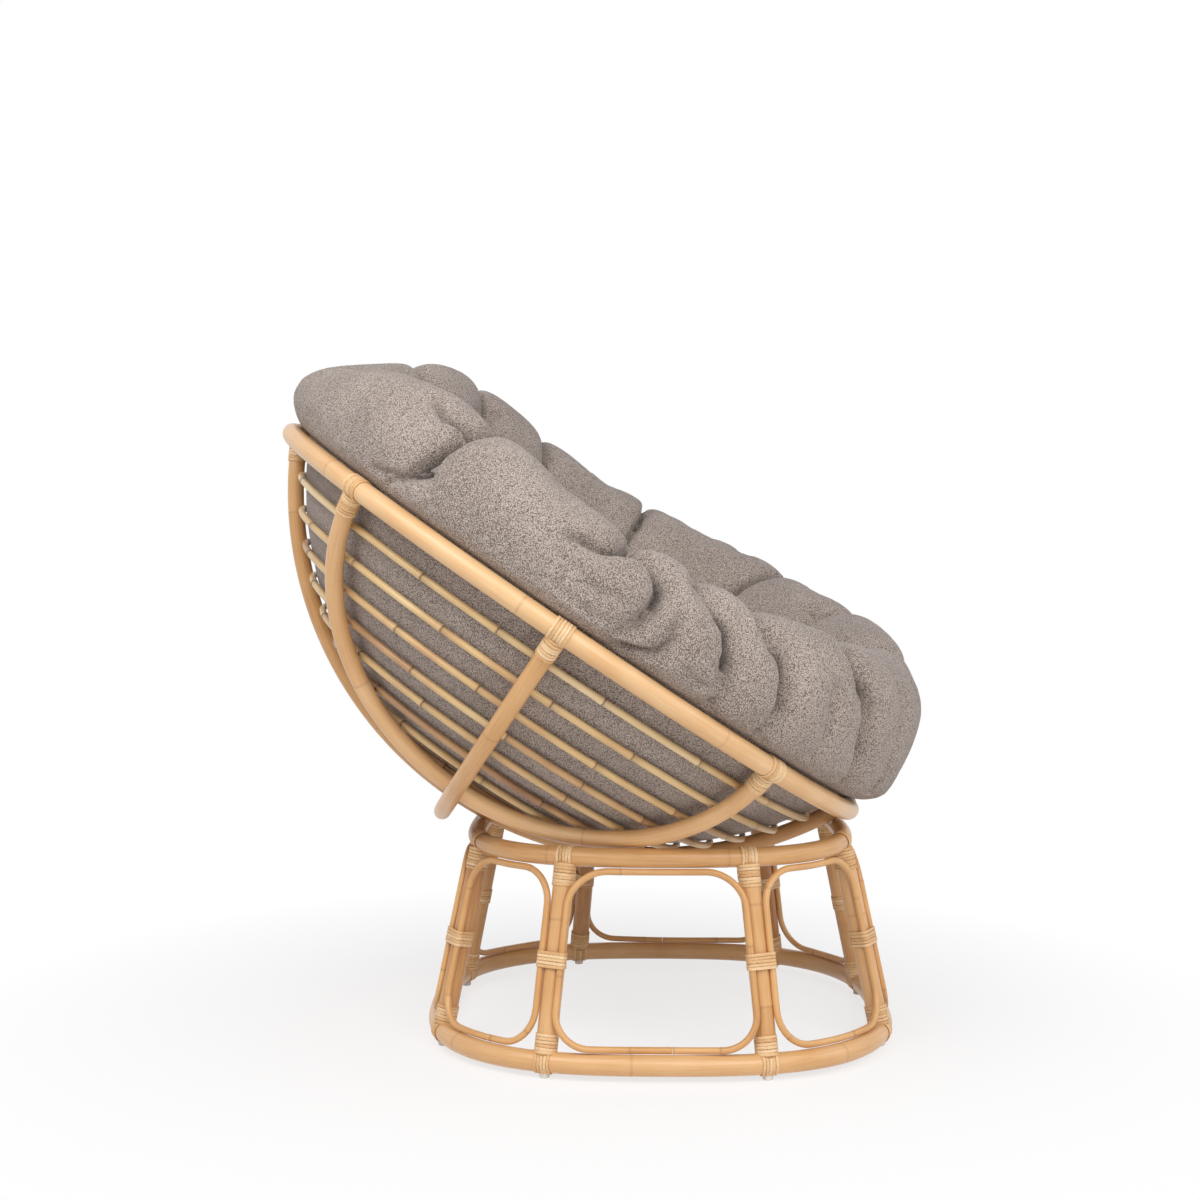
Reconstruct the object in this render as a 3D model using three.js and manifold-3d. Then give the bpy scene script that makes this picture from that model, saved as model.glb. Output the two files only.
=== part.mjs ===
// A papasan chair: a round bowl of bent rattan poles and canes that lies loose in the top hoop of a
// eight-post rattan stand, with a large tufted cushion in the bowl.
// Millimetres, +Z up. The open, low side of the bowl faces -Y.
import * as THREE from 'three';
import { mergeVertices } from 'three/addons/utils/BufferGeometryUtils.js';
import Module from 'manifold-3d';

const wasm = await Module();
wasm.setup();

// Fits shared by the whole chair
const JOINT_GAP = 0.3; // between two pieces that touch
const LAYER_GAP = 0.8; // where one bent pole or cane lies across another
const BOWL_SETTLE = 0.1; // the bowl's poles lie this deep in the hoop's round outline, which its flats leave free
const CUSHION_PLAY = 1.8; // between the cushion's underside and the rings it lies on
const PEEL = 1.5; // thickness of the rattan-peel windings

// Stand
const TOP_HOOP_POLE = 28;
const TOP_HOOP_HEIGHT = 304; // centre line above the floor
const HOOP_SPREAD = 60; // the bottom hoop's centre line lies this much further out than the top hoop's
const BOTTOM_HOOP_POLE = 30;
const HOOP_CORNER_SHARE = 0.1; // the hoops are bent a little square: this much wider across the corners
const GLIDE_HEIGHT = 7;
const GLIDE_WIDTH = 15;
const GLIDE_SINK = 4; // how far a glide is let into the hoop
const POST_POLE = 30;
const POST_SHOULDER = 4; // a post's hollowed ends stop this far short of the hoops' centre lines
const POST_TURNS = [22, 61, 118, 153, 203.5, 243, 291, 325.5]; // degrees round the stand, as set out by hand
const LOOP_CANE = 10;
const LOOP_CORNER = 50; // bending radius of a panel loop's corners
const LOOP_OUTSET = 12.5; // how far a loop's side canes stand outside the post's centre line
const LOOP_END_SHIFT = 24; // the two ends of a loop meet this far beside the middle of its bottom
const HOOP_STRAP_WIDTH = 23; // band of peel strands over a hoop at each post
const POST_WRAP_TOP = 29; // height of the turns round a post under the top hoop
const POST_WRAP_BOTTOM = 25;
const POST_WRAP_MIDDLE = 25;
const MIDDLE_WRAP_SHARE = 0.51; // of the way down a post

// Bowl
const RIM_RADIUS = 530; // centre line
const RIM_POLE = 30;
const BOWL_DEPTH = 338; // from the rim's centre line down to the lowest pole's centre line
const TILT_SHARE = 0.52418; // of the angle up to the rim: how far the bowl leans forward
const BEARING_SHARE = 0.43359; // of the angle up to the rim: where the top hoop bears on the bowl
const BOWL_POLE = 26;
const OUTER_POLE_SHARE = 0.42; // of the way up to the rim, the outer pole stays clear under the others
const SIDE_POLE_TURN = 50; // degrees round the rim from the back to a side pole's end
const SIDE_POLE_LEAN = 32.5; // degrees between a side pole's plane and the bowl's axis
const RING_CANE = 11;
const RING_COUNT = 9;
const RING_SPACING_SHARE = 0.08287; // of the bowl's wall, between neighbouring rings
const FIRST_RING_SHARE = 0.09944; // of the wall, from the rim down to the first ring
const RIM_STRAP_WIDTH = 27;
const RIM_WRAP = 28; // length of the turns round a pole's end
const FRONT_RIM_WRAP = 4.5; // shorter, because the hoop bears on the pole just below

// Cushion, heights above the plane of the rim's centre line
const CUSHION_OVERHANG = 44; // past the rim's centre line, at the front
const BACK_OVERHANG_SHARE = 0.6; // of that, at the back
const CUSHION_OVERHANG_HEIGHT = 92;
const ROLL_HEIGHT = 165; // at the back
const ROLL_CREST_INSET = 62; // from the rim's centre line in to the roll's crest
const FRONT_RISE = 60; // the roll stands higher at the front
const RIGHT_RISE = 56; // the loose cushion lies pushed up a little at +X
const SEAT_DEPTH = 138; // of the cushion's middle below the rim
const SEAT_WALL_RADIUS = 330; // where the inner wall of the roll crosses the rim's plane
const CREASE_TURNS = [24, 60, 93, 114, 129, 153, 178, 200, 222, 244, 268, 297, 319, 345];
const CREASE_DEPTH = 34;
const CREASE_WIDTH = 5; // degrees
const TUFT_COUNT = 7;
const TUFT_RADIUS = 215; // of the ring of sewn tufts
const TUFT_DEPTH = 34;
const TUFT_WIDTH = 42;
// The cushion's section, from the middle of its underside round the roll to the middle of the seat.
// The last number of a row is how much of a crease's depth is felt there.
const UNDERSIDE_SHARES = [0, 0.17, 0.34, 0.5, 0.66, 0.82, 0.93]; // of the way up the bowl's wall
const OVER_RIM_SHARES = [[-1.5, 0, 0], [-0.9, 0.9, 0], [0.2, 1.35, 0.2]]; // of the rim's own reach: out, up
const OVERHANG_SHARES = [[0.8, 0.45, 0.7], [1, 1, 1]]; // of the way out from the rim, of the overhang's height
const ROLL_TOP_SHARES = [[0.8, 0.62, 1], [0.42, 0.93, 1], [0, 1, 1]]; // out from the crest, up to the crest
const ROLL_INSIDE_SHARES = [[0.6, 0.86, 1], [0.25, 0.5, 0.9], [0, 0, 0.6]]; // out to the crest, up to it
const SEAT_SHARES = [[0.8, 0.52, 0.3], [0.65, 0.8, 0.1], [0.45, 0.93, 0], [0.22, 1, 0], [0, 1, 0]];
const ROLL_CORE_SHARE = 0.8; // of the overhang's height, the level that creases are drawn towards

// Facets
const POLE_SIDES = 8;
const CANE_SIDES = 5;
const GLIDE_SIDES = 6;
const RIM_STEPS = 48;
const HOOP_STEPS = 36;
const BOWL_POLE_STEPS = 22;
const RING_CHORD = 98; // longest straight facet of a ring
const WRAP_STEPS = 1;
const MIDDLE_WRAP_SIDES = 10;
const CUSHION_STEPS = 36;
const MERGE_DISTANCE = 1e-4; // corners nearer than this are one corner

const FULL_TURN = Math.PI * 2;
const FULL_DEGREES = 360;
const rad = THREE.MathUtils.degToRad;

// Sizes that follow from the ones above
const bowlRadius = (RIM_RADIUS ** 2 + BOWL_DEPTH ** 2) / (2 * BOWL_DEPTH);
const rimDrop = bowlRadius - BOWL_DEPTH; // from the ball's centre down to the rim's plane
const rimAngle = Math.atan2(RIM_RADIUS, rimDrop); // from the bowl's lowest point up to the rim
const strapThickness = JOINT_GAP + PEEL;
const restDistance = bowlRadius + (BOWL_POLE + TOP_HOOP_POLE) / 2 - BOWL_SETTLE;
const topHoopRadius = restDistance * Math.sin(rimAngle * BEARING_SHARE); // out to the middle of a flat side
const bottomHoopRadius = topHoopRadius + HOOP_SPREAD;
const ballHeight = TOP_HOOP_HEIGHT + Math.sqrt(restDistance ** 2 - topHoopRadius ** 2);
const bottomHoopHeight = GLIDE_HEIGHT + BOTTOM_HOOP_POLE / 2;
const ringRadius = bowlRadius - BOWL_POLE / 2 - LAYER_GAP - RING_CANE / 2;
const cushionBallRadius = ringRadius - RING_CANE / 2 - CUSHION_PLAY;

const rattan = (color, roughness) => new THREE.MeshStandardMaterial({ color, roughness, metalness: 0 });
const materials = {
  pole: rattan(0xdcae78, 0.42),
  cane: rattan(0xd8b685, 0.5),
  loop: rattan(0xd9a873, 0.45),
  peel: rattan(0xe8c897, 0.6),
  fabric: rattan(0x8d8178, 0.95),
};

// A curve given by a formula of 0 to 1, stepped evenly in that number
class FormulaCurve extends THREE.Curve {
  constructor(formula) {
    super();
    this.formula = formula;
  }

  getPoint(t) {
    return this.formula(t);
  }

  getUtoTmapping(u) {
    return u;
  }
}

// Corner radius of a faceted tube whose flat sides lie a distance outside those of a like tube
function aroundRadius(radius, distance) {
  return radius + distance / Math.cos(Math.PI / POLE_SIDES);
}

function polygonShape(radius, sides) {
  const points = [];
  for (let i = 0; i < sides; i += 1) {
    const turn = (i / sides) * FULL_TURN;
    points.push(new THREE.Vector2(radius * Math.cos(turn), radius * Math.sin(turn)));
  }
  return new THREE.Shape(points);
}

function tubeAlong(curve, steps, radius, sides) {
  const extrudePath = curve;
  return new THREE.ExtrudeGeometry(polygonShape(radius, sides), { steps, extrudePath, bevelEnabled: false });
}

// A closed hoop round the Z axis. The corner of its section that points along lean touches the true tube.
function hoop(radius, tubeRadius, steps, sides, lean) {
  const points = [];
  for (let i = 0; i <= sides; i += 1) {
    const turn = lean + ((i % sides) / sides) * FULL_TURN;
    points.push(new THREE.Vector2(radius + tubeRadius * Math.cos(turn), tubeRadius * Math.sin(turn)));
  }
  return new THREE.LatheGeometry(points, steps).rotateX(Math.PI / 2);
}

function toSolid(geometry) {
  const bare = geometry.clone();
  bare.deleteAttribute('normal');
  bare.deleteAttribute('uv');
  const merged = mergeVertices(bare, MERGE_DISTANCE);
  const vertProperties = Float32Array.from(merged.attributes.position.array);
  const triVerts = Uint32Array.from(merged.index.array);
  return new wasm.Manifold(new wasm.Mesh({ numProp: 3, vertProperties, triVerts }));
}

function toGeometry(solid) {
  const mesh = solid.getMesh();
  const geometry = new THREE.BufferGeometry();
  geometry.setAttribute('position', new THREE.BufferAttribute(Float32Array.from(mesh.vertProperties), 3));
  geometry.setIndex(new THREE.BufferAttribute(Uint32Array.from(mesh.triVerts), 1));
  geometry.computeVertexNormals();
  return geometry;
}

// The stretch of a hoop that a strap of the given width covers, where it crosses +X
function strapOf(hoopGeometry, width) {
  return toSolid(hoopGeometry)
    .trimByPlane([1, 0, 0], 0)
    .trimByPlane([0, 1, 0], -width / 2)
    .trimByPlane([0, -1, 0], -width / 2);
}

function addPiece(group, name, geometry, material) {
  const piece = new THREE.Mesh(geometry, material);
  piece.name = name;
  group.add(piece);
  return piece;
}

const chair = new THREE.Group();
const stand = new THREE.Group();
const bowl = new THREE.Group();
bowl.position.z = ballHeight;
bowl.rotation.x = rimAngle * TILT_SHARE;
chair.add(stand, bowl);

// Stand: how far its hoops reach in a direction, as a share of their reach to a flat side
function squareShare(turn) {
  return 1 + HOOP_CORNER_SHARE * Math.sin(2 * turn) ** 2;
}

// Bends a round hoop's plan a little square. The tube keeps its thickness.
function bendSquare(geometry, radius) {
  const { position } = geometry.attributes;
  for (let i = 0; i < position.count; i += 1) {
    const turn = Math.atan2(position.getY(i), position.getX(i));
    const shift = radius * (squareShare(turn) - 1);
    position.setXY(i, position.getX(i) + shift * Math.cos(turn), position.getY(i) + shift * Math.sin(turn));
  }
  return geometry;
}

// A post's centre line at a share of the way down, in a frame where the post of that turn stands at +X
function postPoint(turn, share) {
  return new THREE.Vector3(
    THREE.MathUtils.lerp(topHoopRadius, bottomHoopRadius, share) * squareShare(turn),
    0,
    THREE.MathUtils.lerp(TOP_HOOP_HEIGHT, bottomHoopHeight, share),
  );
}

const standHeight = TOP_HOOP_HEIGHT - bottomHoopHeight;

function postLean(turn) {
  return Math.atan2((bottomHoopRadius - topHoopRadius) * squareShare(turn), standHeight);
}

function straight(from, to) {
  return new THREE.LineCurve3(from, to);
}

function topHoop(extra) {
  const round = hoop(topHoopRadius, aroundRadius(TOP_HOOP_POLE / 2, extra), HOOP_STEPS, POLE_SIDES, 0);
  return bendSquare(round, topHoopRadius).translate(0, 0, TOP_HOOP_HEIGHT);
}

function bottomHoop(extra) {
  const round = hoop(bottomHoopRadius, aroundRadius(BOTTOM_HOOP_POLE / 2, extra), HOOP_STEPS, POLE_SIDES, 0);
  return bendSquare(round, bottomHoopRadius).translate(0, 0, bottomHoopHeight);
}

// A nailed-on foot under the bottom hoop, below a post at +X
function glide(turn, extra) {
  const radius = aroundRadius(GLIDE_WIDTH / 2, extra);
  return new THREE.CylinderGeometry(radius, radius, GLIDE_HEIGHT + GLIDE_SINK, GLIDE_SIDES)
    .rotateX(Math.PI / 2)
    .translate(postPoint(turn, 1).x, 0, (GLIDE_HEIGHT + GLIDE_SINK) / 2);
}

function makeBottomHoop() {
  let solid = toSolid(bottomHoop(0));
  for (const degrees of POST_TURNS) {
    const turn = rad(degrees);
    solid = solid.add(toSolid(glide(turn, 0).rotateZ(turn)));
  }
  return toGeometry(solid);
}

// Outline of a winding drawn tight round several round poles: its flat sides just clear them
function tightOutline(circles, extra, count) {
  const step = FULL_TURN / count;
  const wayAt = (i) => new THREE.Vector2(Math.cos(i * step), Math.sin(i * step));
  const reachAt = (i) => extra + Math.max(...circles.map((circle) => circle.centre.dot(wayAt(i)) + circle.radius));
  return Array.from({ length: count }, (_, i) => {
    const aside = (reachAt(i + 1) - reachAt(i) * Math.cos(step)) / Math.sin(step);
    const way = wayAt(i);
    return new THREE.Vector2(-way.y, way.x).multiplyScalar(aside).addScaledVector(way, reachAt(i));
  });
}

// Where a loop's side cane stands against its post: sideways, and outwards from the post's centre line
const caneReach = (POST_POLE + LOOP_CANE) / 2 + JOINT_GAP;
const caneSideways = Math.sqrt(caneReach ** 2 - LOOP_OUTSET ** 2);

// The turns at a post's middle draw two loops' side canes against it. They are one piece with the post.
function makeMiddleBinding(turn) {
  const circles = [{ centre: new THREE.Vector2(0, 0), radius: POST_POLE / 2 }];
  for (const side of [-1, 1]) {
    circles.push({ centre: new THREE.Vector2(LOOP_OUTSET, side * caneSideways), radius: LOOP_CANE / 2 });
  }
  const shape = new THREE.Shape(tightOutline(circles, strapThickness, MIDDLE_WRAP_SIDES));
  for (const cane of circles.slice(1)) {
    shape.holes.push(new THREE.Path(tightOutline([cane], JOINT_GAP, CANE_SIDES)));
  }
  const geometry = new THREE.ExtrudeGeometry(shape, { depth: POST_WRAP_MIDDLE, bevelEnabled: false });
  const place = postPoint(turn, MIDDLE_WRAP_SHARE);
  return geometry.translate(0, 0, -POST_WRAP_MIDDLE / 2).rotateY(-postLean(turn)).translate(place.x, 0, place.z);
}

// A post runs from hoop to hoop, and both its ends are hollowed to fit round the hoops
function makePost(turn) {
  const line = straight(postPoint(turn, 0), postPoint(turn, 1));
  const pole = toSolid(tubeAlong(line, 1, POST_POLE / 2, POLE_SIDES));
  return toGeometry(pole
    .trimByPlane([0, 0, -1], POST_SHOULDER - TOP_HOOP_HEIGHT)
    .trimByPlane([0, 0, 1], POST_SHOULDER + bottomHoopHeight)
    .subtract(toSolid(topHoop(JOINT_GAP).rotateZ(-turn)))
    .subtract(toSolid(bottomHoop(JOINT_GAP).rotateZ(-turn)))
    .add(toSolid(makeMiddleBinding(turn))));
}

// Peel strands over a hoop and turns round the post beside it, as one shell of the windings' thickness
function makePostBinding(turn, atTop) {
  const wrap = atTop ? POST_WRAP_TOP : POST_WRAP_BOTTOM;
  const hoopPole = atTop ? TOP_HOOP_POLE : BOTTOM_HOOP_POLE;
  const height = atTop ? TOP_HOOP_HEIGHT : bottomHoopHeight;
  const hoopTube = atTop ? topHoop : bottomHoop;
  const reach = (hoopPole / 2 + wrap) / standHeight;
  const from = postPoint(turn, atTop ? 0 : 1);
  const to = postPoint(turn, atTop ? reach : 1 - reach);
  const postOutside = aroundRadius(POST_POLE / 2, strapThickness);
  const strap = strapOf(hoopTube(strapThickness).rotateZ(-turn), HOOP_STRAP_WIDTH);
  const windings = toSolid(tubeAlong(straight(from, to), 1, postOutside, POLE_SIDES)).add(strap);
  const post = straight(postPoint(turn, -reach), postPoint(turn, 1 + reach));
  const hollow = aroundRadius(POST_POLE / 2, JOINT_GAP);
  const postSide = toSolid(tubeAlong(post, 1, hollow, POLE_SIDES)).trimByPlane([0, 0, atTop ? -1 : 1],
    atTop ? -height : height);
  const bound = windings.subtract(toSolid(hoopTube(JOINT_GAP).rotateZ(-turn))).subtract(postSide);
  return toGeometry(atTop ? bound : bound.subtract(toSolid(glide(turn, JOINT_GAP))));
}

// Where a side cane of a loop stands at a drop below the top hoop's centre line
function sideCane(postTurn, side, drop) {
  const centre = postPoint(postTurn, drop / standHeight);
  const lean = postLean(postTurn);
  const out = centre.x + LOOP_OUTSET * Math.cos(lean);
  return {
    turn: postTurn - side * Math.atan2(caneSideways, out),
    radius: Math.hypot(out, caneSideways),
    height: centre.z + LOOP_OUTSET * Math.sin(lean),
  };
}

// One bent cane in each bay: along two posts, under the top hoop and over the bottom hoop
function makePanelLoop(fromTurn, toTurn) {
  const topDrop = (TOP_HOOP_POLE + LOOP_CANE) / 2 + JOINT_GAP;
  const bottomDrop = standHeight - (BOTTOM_HOOP_POLE + LOOP_CANE) / 2 - JOINT_GAP;
  // A place on the loop: across the bay from -1 to 1, and a drop below the top hoop
  const onStand = (across, drop) => {
    const near = sideCane(fromTurn, -1, drop);
    const far = sideCane(toTurn, 1, drop);
    const turn = THREE.MathUtils.lerp(near.turn, far.turn, (across + 1) / 2);
    const round = THREE.MathUtils.lerp(topHoopRadius, bottomHoopRadius, drop / standHeight);
    const height = TOP_HOOP_HEIGHT - drop;
    const beside = across < 0 ? near : far;
    const share = across ** 2;
    const outset = share * (beside.radius - round * squareShare(beside.turn));
    const radius = round * squareShare(turn) + outset;
    return new THREE.Vector3(
      radius * Math.cos(turn),
      radius * Math.sin(turn),
      height + share * (beside.height - height),
    );
  };
  const reachAt = (drop) => onStand(-1, drop).distanceTo(onStand(1, drop)) / 2;
  const corner = (side, down, startTurn, t) => {
    const turn = startTurn + t * Math.PI / 2;
    const drop = down - LOOP_CORNER * Math.sin(turn);
    return onStand(side * (1 - LOOP_CORNER * (1 - Math.abs(Math.cos(turn))) / reachAt(drop)), drop);
  };
  const upper = topDrop + LOOP_CORNER;
  const lower = bottomDrop - LOOP_CORNER;
  const across = (drop, from, to, t) => onStand(THREE.MathUtils.lerp(from, to, t) / reachAt(drop), drop);
  const along = (side, from, to, t) => onStand(side, THREE.MathUtils.lerp(from, to, t));
  const flat = (drop) => reachAt(drop) - LOOP_CORNER;
  const endGap = JOINT_GAP / 2;
  const stretches = [
    { steps: 2, at: (t) => across(bottomDrop, LOOP_END_SHIFT - endGap, -flat(bottomDrop), t) },
    { steps: 3, at: (t) => corner(-1, lower, -Math.PI / 2, t) },
    { steps: 1, at: (t) => along(-1, lower, upper, t) },
    { steps: 3, at: (t) => corner(-1, upper, 0, t) },
    { steps: 3, at: (t) => across(topDrop, -flat(topDrop), flat(topDrop), t) },
    { steps: 3, at: (t) => corner(1, upper, Math.PI / 2, -t) },
    { steps: 1, at: (t) => along(1, upper, lower, t) },
    { steps: 3, at: (t) => corner(1, lower, 0, -t) },
    { steps: 2, at: (t) => across(bottomDrop, flat(bottomDrop), LOOP_END_SHIFT + endGap, t) },
  ];
  const total = stretches.reduce((sum, stretch) => sum + stretch.steps, 0);
  const path = new FormulaCurve((t) => {
    let left = t * total;
    for (const stretch of stretches) {
      if (left <= stretch.steps || stretch === stretches.at(-1)) return stretch.at(left / stretch.steps);
      left -= stretch.steps;
    }
    return null;
  });
  return tubeAlong(path, total, LOOP_CANE / 2, CANE_SIDES);
}

addPiece(stand, 'top_hoop', topHoop(0), materials.pole);
addPiece(stand, 'bottom_hoop', makeBottomHoop(), materials.pole);
POST_TURNS.forEach((degrees, i) => {
  const number = i + 1;
  const turn = rad(degrees);
  const station = new THREE.Group();
  station.rotation.z = turn;
  stand.add(station);
  addPiece(station, `post_${number}`, makePost(turn), materials.pole);
  addPiece(station, `post_top_binding_${number}`, makePostBinding(turn, true), materials.peel);
  addPiece(station, `post_bottom_binding_${number}`, makePostBinding(turn, false), materials.peel);
  const next = i + 1 < POST_TURNS.length ? rad(POST_TURNS[i + 1]) : rad(POST_TURNS[0]) + FULL_TURN;
  addPiece(stand, `panel_loop_${number}`, makePanelLoop(turn, next), materials.loop);
});

// Bowl: all its pieces in a frame at the ball's centre, with +Z out of the opening and +Y to the back
function rim(extra) {
  return hoop(RIM_RADIUS, aroundRadius(RIM_POLE / 2, extra), RIM_STEPS, POLE_SIDES, 0)
    .translate(0, 0, -rimDrop);
}

// A pole in a plane through the bowl's axis. The outer one passes under the other three.
function meridianPole(layerOffset) {
  return new FormulaCurve((t) => {
    const turn = THREE.MathUtils.lerp(-rimAngle, rimAngle, t);
    const rise = Math.abs(turn) / rimAngle;
    const ease = 1 - THREE.MathUtils.smoothstep(rise, OUTER_POLE_SHARE, 1);
    const radius = bowlRadius + layerOffset * ease;
    return new THREE.Vector3(radius * Math.sin(turn), -radius * Math.cos(turn), 0);
  });
}

// A side pole is a flat arc: the cut of the ball by a plane that leans over the bowl's bottom
function sidePole() {
  const lean = rad(SIDE_POLE_LEAN);
  const end = new THREE.Vector2(RIM_RADIUS * Math.sin(rad(SIDE_POLE_TURN)), -rimDrop);
  const planeDistance = end.x * Math.cos(lean) - end.y * Math.sin(lean);
  const arcRadius = Math.sqrt(bowlRadius ** 2 - planeDistance ** 2);
  const halfSpan = RIM_RADIUS * Math.cos(rad(SIDE_POLE_TURN));
  const endRise = end.x * Math.sin(lean) + end.y * Math.cos(lean);
  const halfTurn = Math.atan2(halfSpan, -endRise);
  const curve = new FormulaCurve((t) => {
    const turn = THREE.MathUtils.lerp(-halfTurn, halfTurn, t);
    return new THREE.Vector3(arcRadius * Math.sin(turn), -arcRadius * Math.cos(turn), 0);
  });
  return { curve, planeDistance, lean, halfTurn, arcRadius };
}

// Turns a flat arc drawn in the XY plane into its place in the bowl
function placeMeridian(geometry, quarterTurn) {
  return geometry.rotateX(Math.PI / 2).rotateZ(quarterTurn);
}

const side = sidePole();

function placeSide(geometry, direction) {
  const placed = geometry.rotateX(Math.PI / 2).rotateZ(Math.PI / 2);
  placed.translate(side.planeDistance, 0, 0).rotateY(side.lean);
  return direction > 0 ? placed : placed.rotateZ(Math.PI);
}

const outerOffset = BOWL_POLE + LAYER_GAP;
const longPole = meridianPole(0);
const crossPole = meridianPole(outerOffset);
const placeLong = (geometry) => placeMeridian(geometry, Math.PI / 2);
const placeCross = (geometry) => placeMeridian(geometry, 0);
const placeLeft = (geometry) => placeSide(geometry, -1);
const placeRight = (geometry) => placeSide(geometry, 1);
const poles = [
  { name: 'long_pole', curve: longPole, place: placeLong, ends: ['front', 'back'] },
  { name: 'cross_pole', curve: crossPole, place: placeCross, ends: ['left', 'right'] },
  { name: 'side_pole_left', curve: side.curve, place: placeLeft, ends: ['left_back', 'left_front'] },
  { name: 'side_pole_right', curve: side.curve, place: placeRight, ends: ['right_front', 'right_back'] },
];

function poleTube(pole, radius) {
  return pole.place(tubeAlong(pole.curve, BOWL_POLE_STEPS, radius, POLE_SIDES));
}

// A stretch of a pole's own curve that starts at one end, for the windings round it
function endStretch(pole, fromStart, length) {
  const whole = new FormulaCurve(pole.curve.formula).getLength();
  const share = length / whole;
  const a = fromStart ? 0 : 1 - share;
  return new FormulaCurve((t) => pole.curve.formula(a + t * share));
}

// How far round the rim from +X a pole's end lies
function endTurn(pole, fromStart) {
  const end = new THREE.BufferGeometry().setFromPoints([pole.curve.formula(fromStart ? 0 : 1)]);
  const spot = new THREE.Vector3().fromBufferAttribute(pole.place(end).attributes.position, 0);
  return Math.atan2(spot.y, spot.x);
}

// Strands over the rim and turns round a pole's end. The piece is made with the joint turned to +X.
function makeRimBinding(pole, fromStart, turn) {
  const wrap = pole.name === 'long_pole' && fromStart ? FRONT_RIM_WRAP : RIM_WRAP;
  const stretch = endStretch(pole, fromStart, RIM_POLE / 2 + wrap);
  const sleeveRadius = aroundRadius(BOWL_POLE / 2, strapThickness);
  const sleeve = toSolid(pole.place(tubeAlong(stretch, WRAP_STEPS, sleeveRadius, POLE_SIDES)).rotateZ(-turn));
  const strap = strapOf(rim(strapThickness).rotateZ(-turn), RIM_STRAP_WIDTH);
  const hollow = poleTube(pole, aroundRadius(BOWL_POLE / 2, JOINT_GAP)).rotateZ(-turn);
  return toGeometry(sleeve
    .add(strap)
    .subtract(toSolid(rim(JOINT_GAP).rotateZ(-turn)))
    .subtract(toSolid(hollow)));
}

addPiece(bowl, 'rim', rim(0), materials.pole);
for (const pole of poles) {
  const coped = toSolid(poleTube(pole, BOWL_POLE / 2)).subtract(toSolid(rim(JOINT_GAP)));
  addPiece(bowl, pole.name, toGeometry(coped), materials.pole);
  pole.ends.forEach((end, i) => {
    const turn = endTurn(pole, i === 0);
    const binding = makeRimBinding(pole, i === 0, turn);
    addPiece(bowl, `rim_binding_${end}`, binding, materials.peel).rotation.z = turn;
  });
}

for (let i = 0; i < RING_COUNT; i += 1) {
  const fromBottom = rimAngle * (1 - FIRST_RING_SHARE - i * RING_SPACING_SHARE);
  const radius = ringRadius * Math.sin(fromBottom);
  const steps = 4 * Math.ceil((FULL_TURN * radius) / RING_CHORD / 4);
  const geometry = hoop(radius, RING_CANE / 2, steps, CANE_SIDES, fromBottom - Math.PI / 2);
  addPiece(bowl, `ring_${i + 1}`, geometry.translate(0, 0, -ringRadius * Math.cos(fromBottom)), materials.cane);
}

// Cushion
function creaseAt(degrees) {
  let deepest = 0;
  for (const turn of CREASE_TURNS) {
    const off = Math.abs(THREE.MathUtils.euclideanModulo(degrees - turn + FULL_DEGREES / 2, FULL_DEGREES)
      - FULL_DEGREES / 2);
    deepest = Math.max(deepest, Math.exp(-((off / CREASE_WIDTH) ** 2)));
  }
  return deepest;
}

// The cushion's outline in a plane through the bowl's axis: distances from the axis and heights above the rim
function cushionSection(degrees) {
  const frontShare = (1 - Math.cos(rad(degrees))) / 2;
  const rightShare = Math.max(0, -Math.sin(rad(degrees)));
  const crest = ROLL_HEIGHT + FRONT_RISE * frontShare + RIGHT_RISE * rightShare;
  const crestRadius = RIM_RADIUS - ROLL_CREST_INSET;
  const rimReach = RIM_POLE / 2 + LAYER_GAP + JOINT_GAP;
  const wallAngle = Math.acos((rimDrop + rimReach) / cushionBallRadius);
  const { lerp } = THREE.MathUtils;
  const bulge = RIM_RADIUS + CUSHION_OVERHANG * lerp(BACK_OVERHANG_SHARE, 1, frontShare);
  const rows = [];
  for (const share of UNDERSIDE_SHARES) {
    const turn = wallAngle * share;
    rows.push([cushionBallRadius * Math.sin(turn), rimDrop - cushionBallRadius * Math.cos(turn), 0]);
  }
  for (const [out, up, creased] of OVER_RIM_SHARES) {
    rows.push([RIM_RADIUS + out * rimReach, up * rimReach, creased]);
  }
  for (const [out, up, creased] of OVERHANG_SHARES) {
    rows.push([lerp(RIM_RADIUS, bulge, out), CUSHION_OVERHANG_HEIGHT * up, creased]);
  }
  for (const [out, up, creased] of ROLL_TOP_SHARES) {
    rows.push([lerp(crestRadius, bulge, out), lerp(CUSHION_OVERHANG_HEIGHT, crest, up), creased]);
  }
  for (const [out, up, creased] of ROLL_INSIDE_SHARES) {
    rows.push([lerp(SEAT_WALL_RADIUS, crestRadius, out), crest * up, creased]);
  }
  for (const [out, down, creased] of SEAT_SHARES) {
    rows.push([SEAT_WALL_RADIUS * out, -SEAT_DEPTH * down, creased]);
  }
  const core = new THREE.Vector2(crestRadius, CUSHION_OVERHANG_HEIGHT * ROLL_CORE_SHARE);
  const crease = CREASE_DEPTH * creaseAt(degrees);
  return rows.map(([radius, height, creased]) => {
    const point = new THREE.Vector2(radius, height);
    const inward = core.clone().sub(point).normalize();
    return point.addScaledVector(inward, creased * crease);
  });
}

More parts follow.
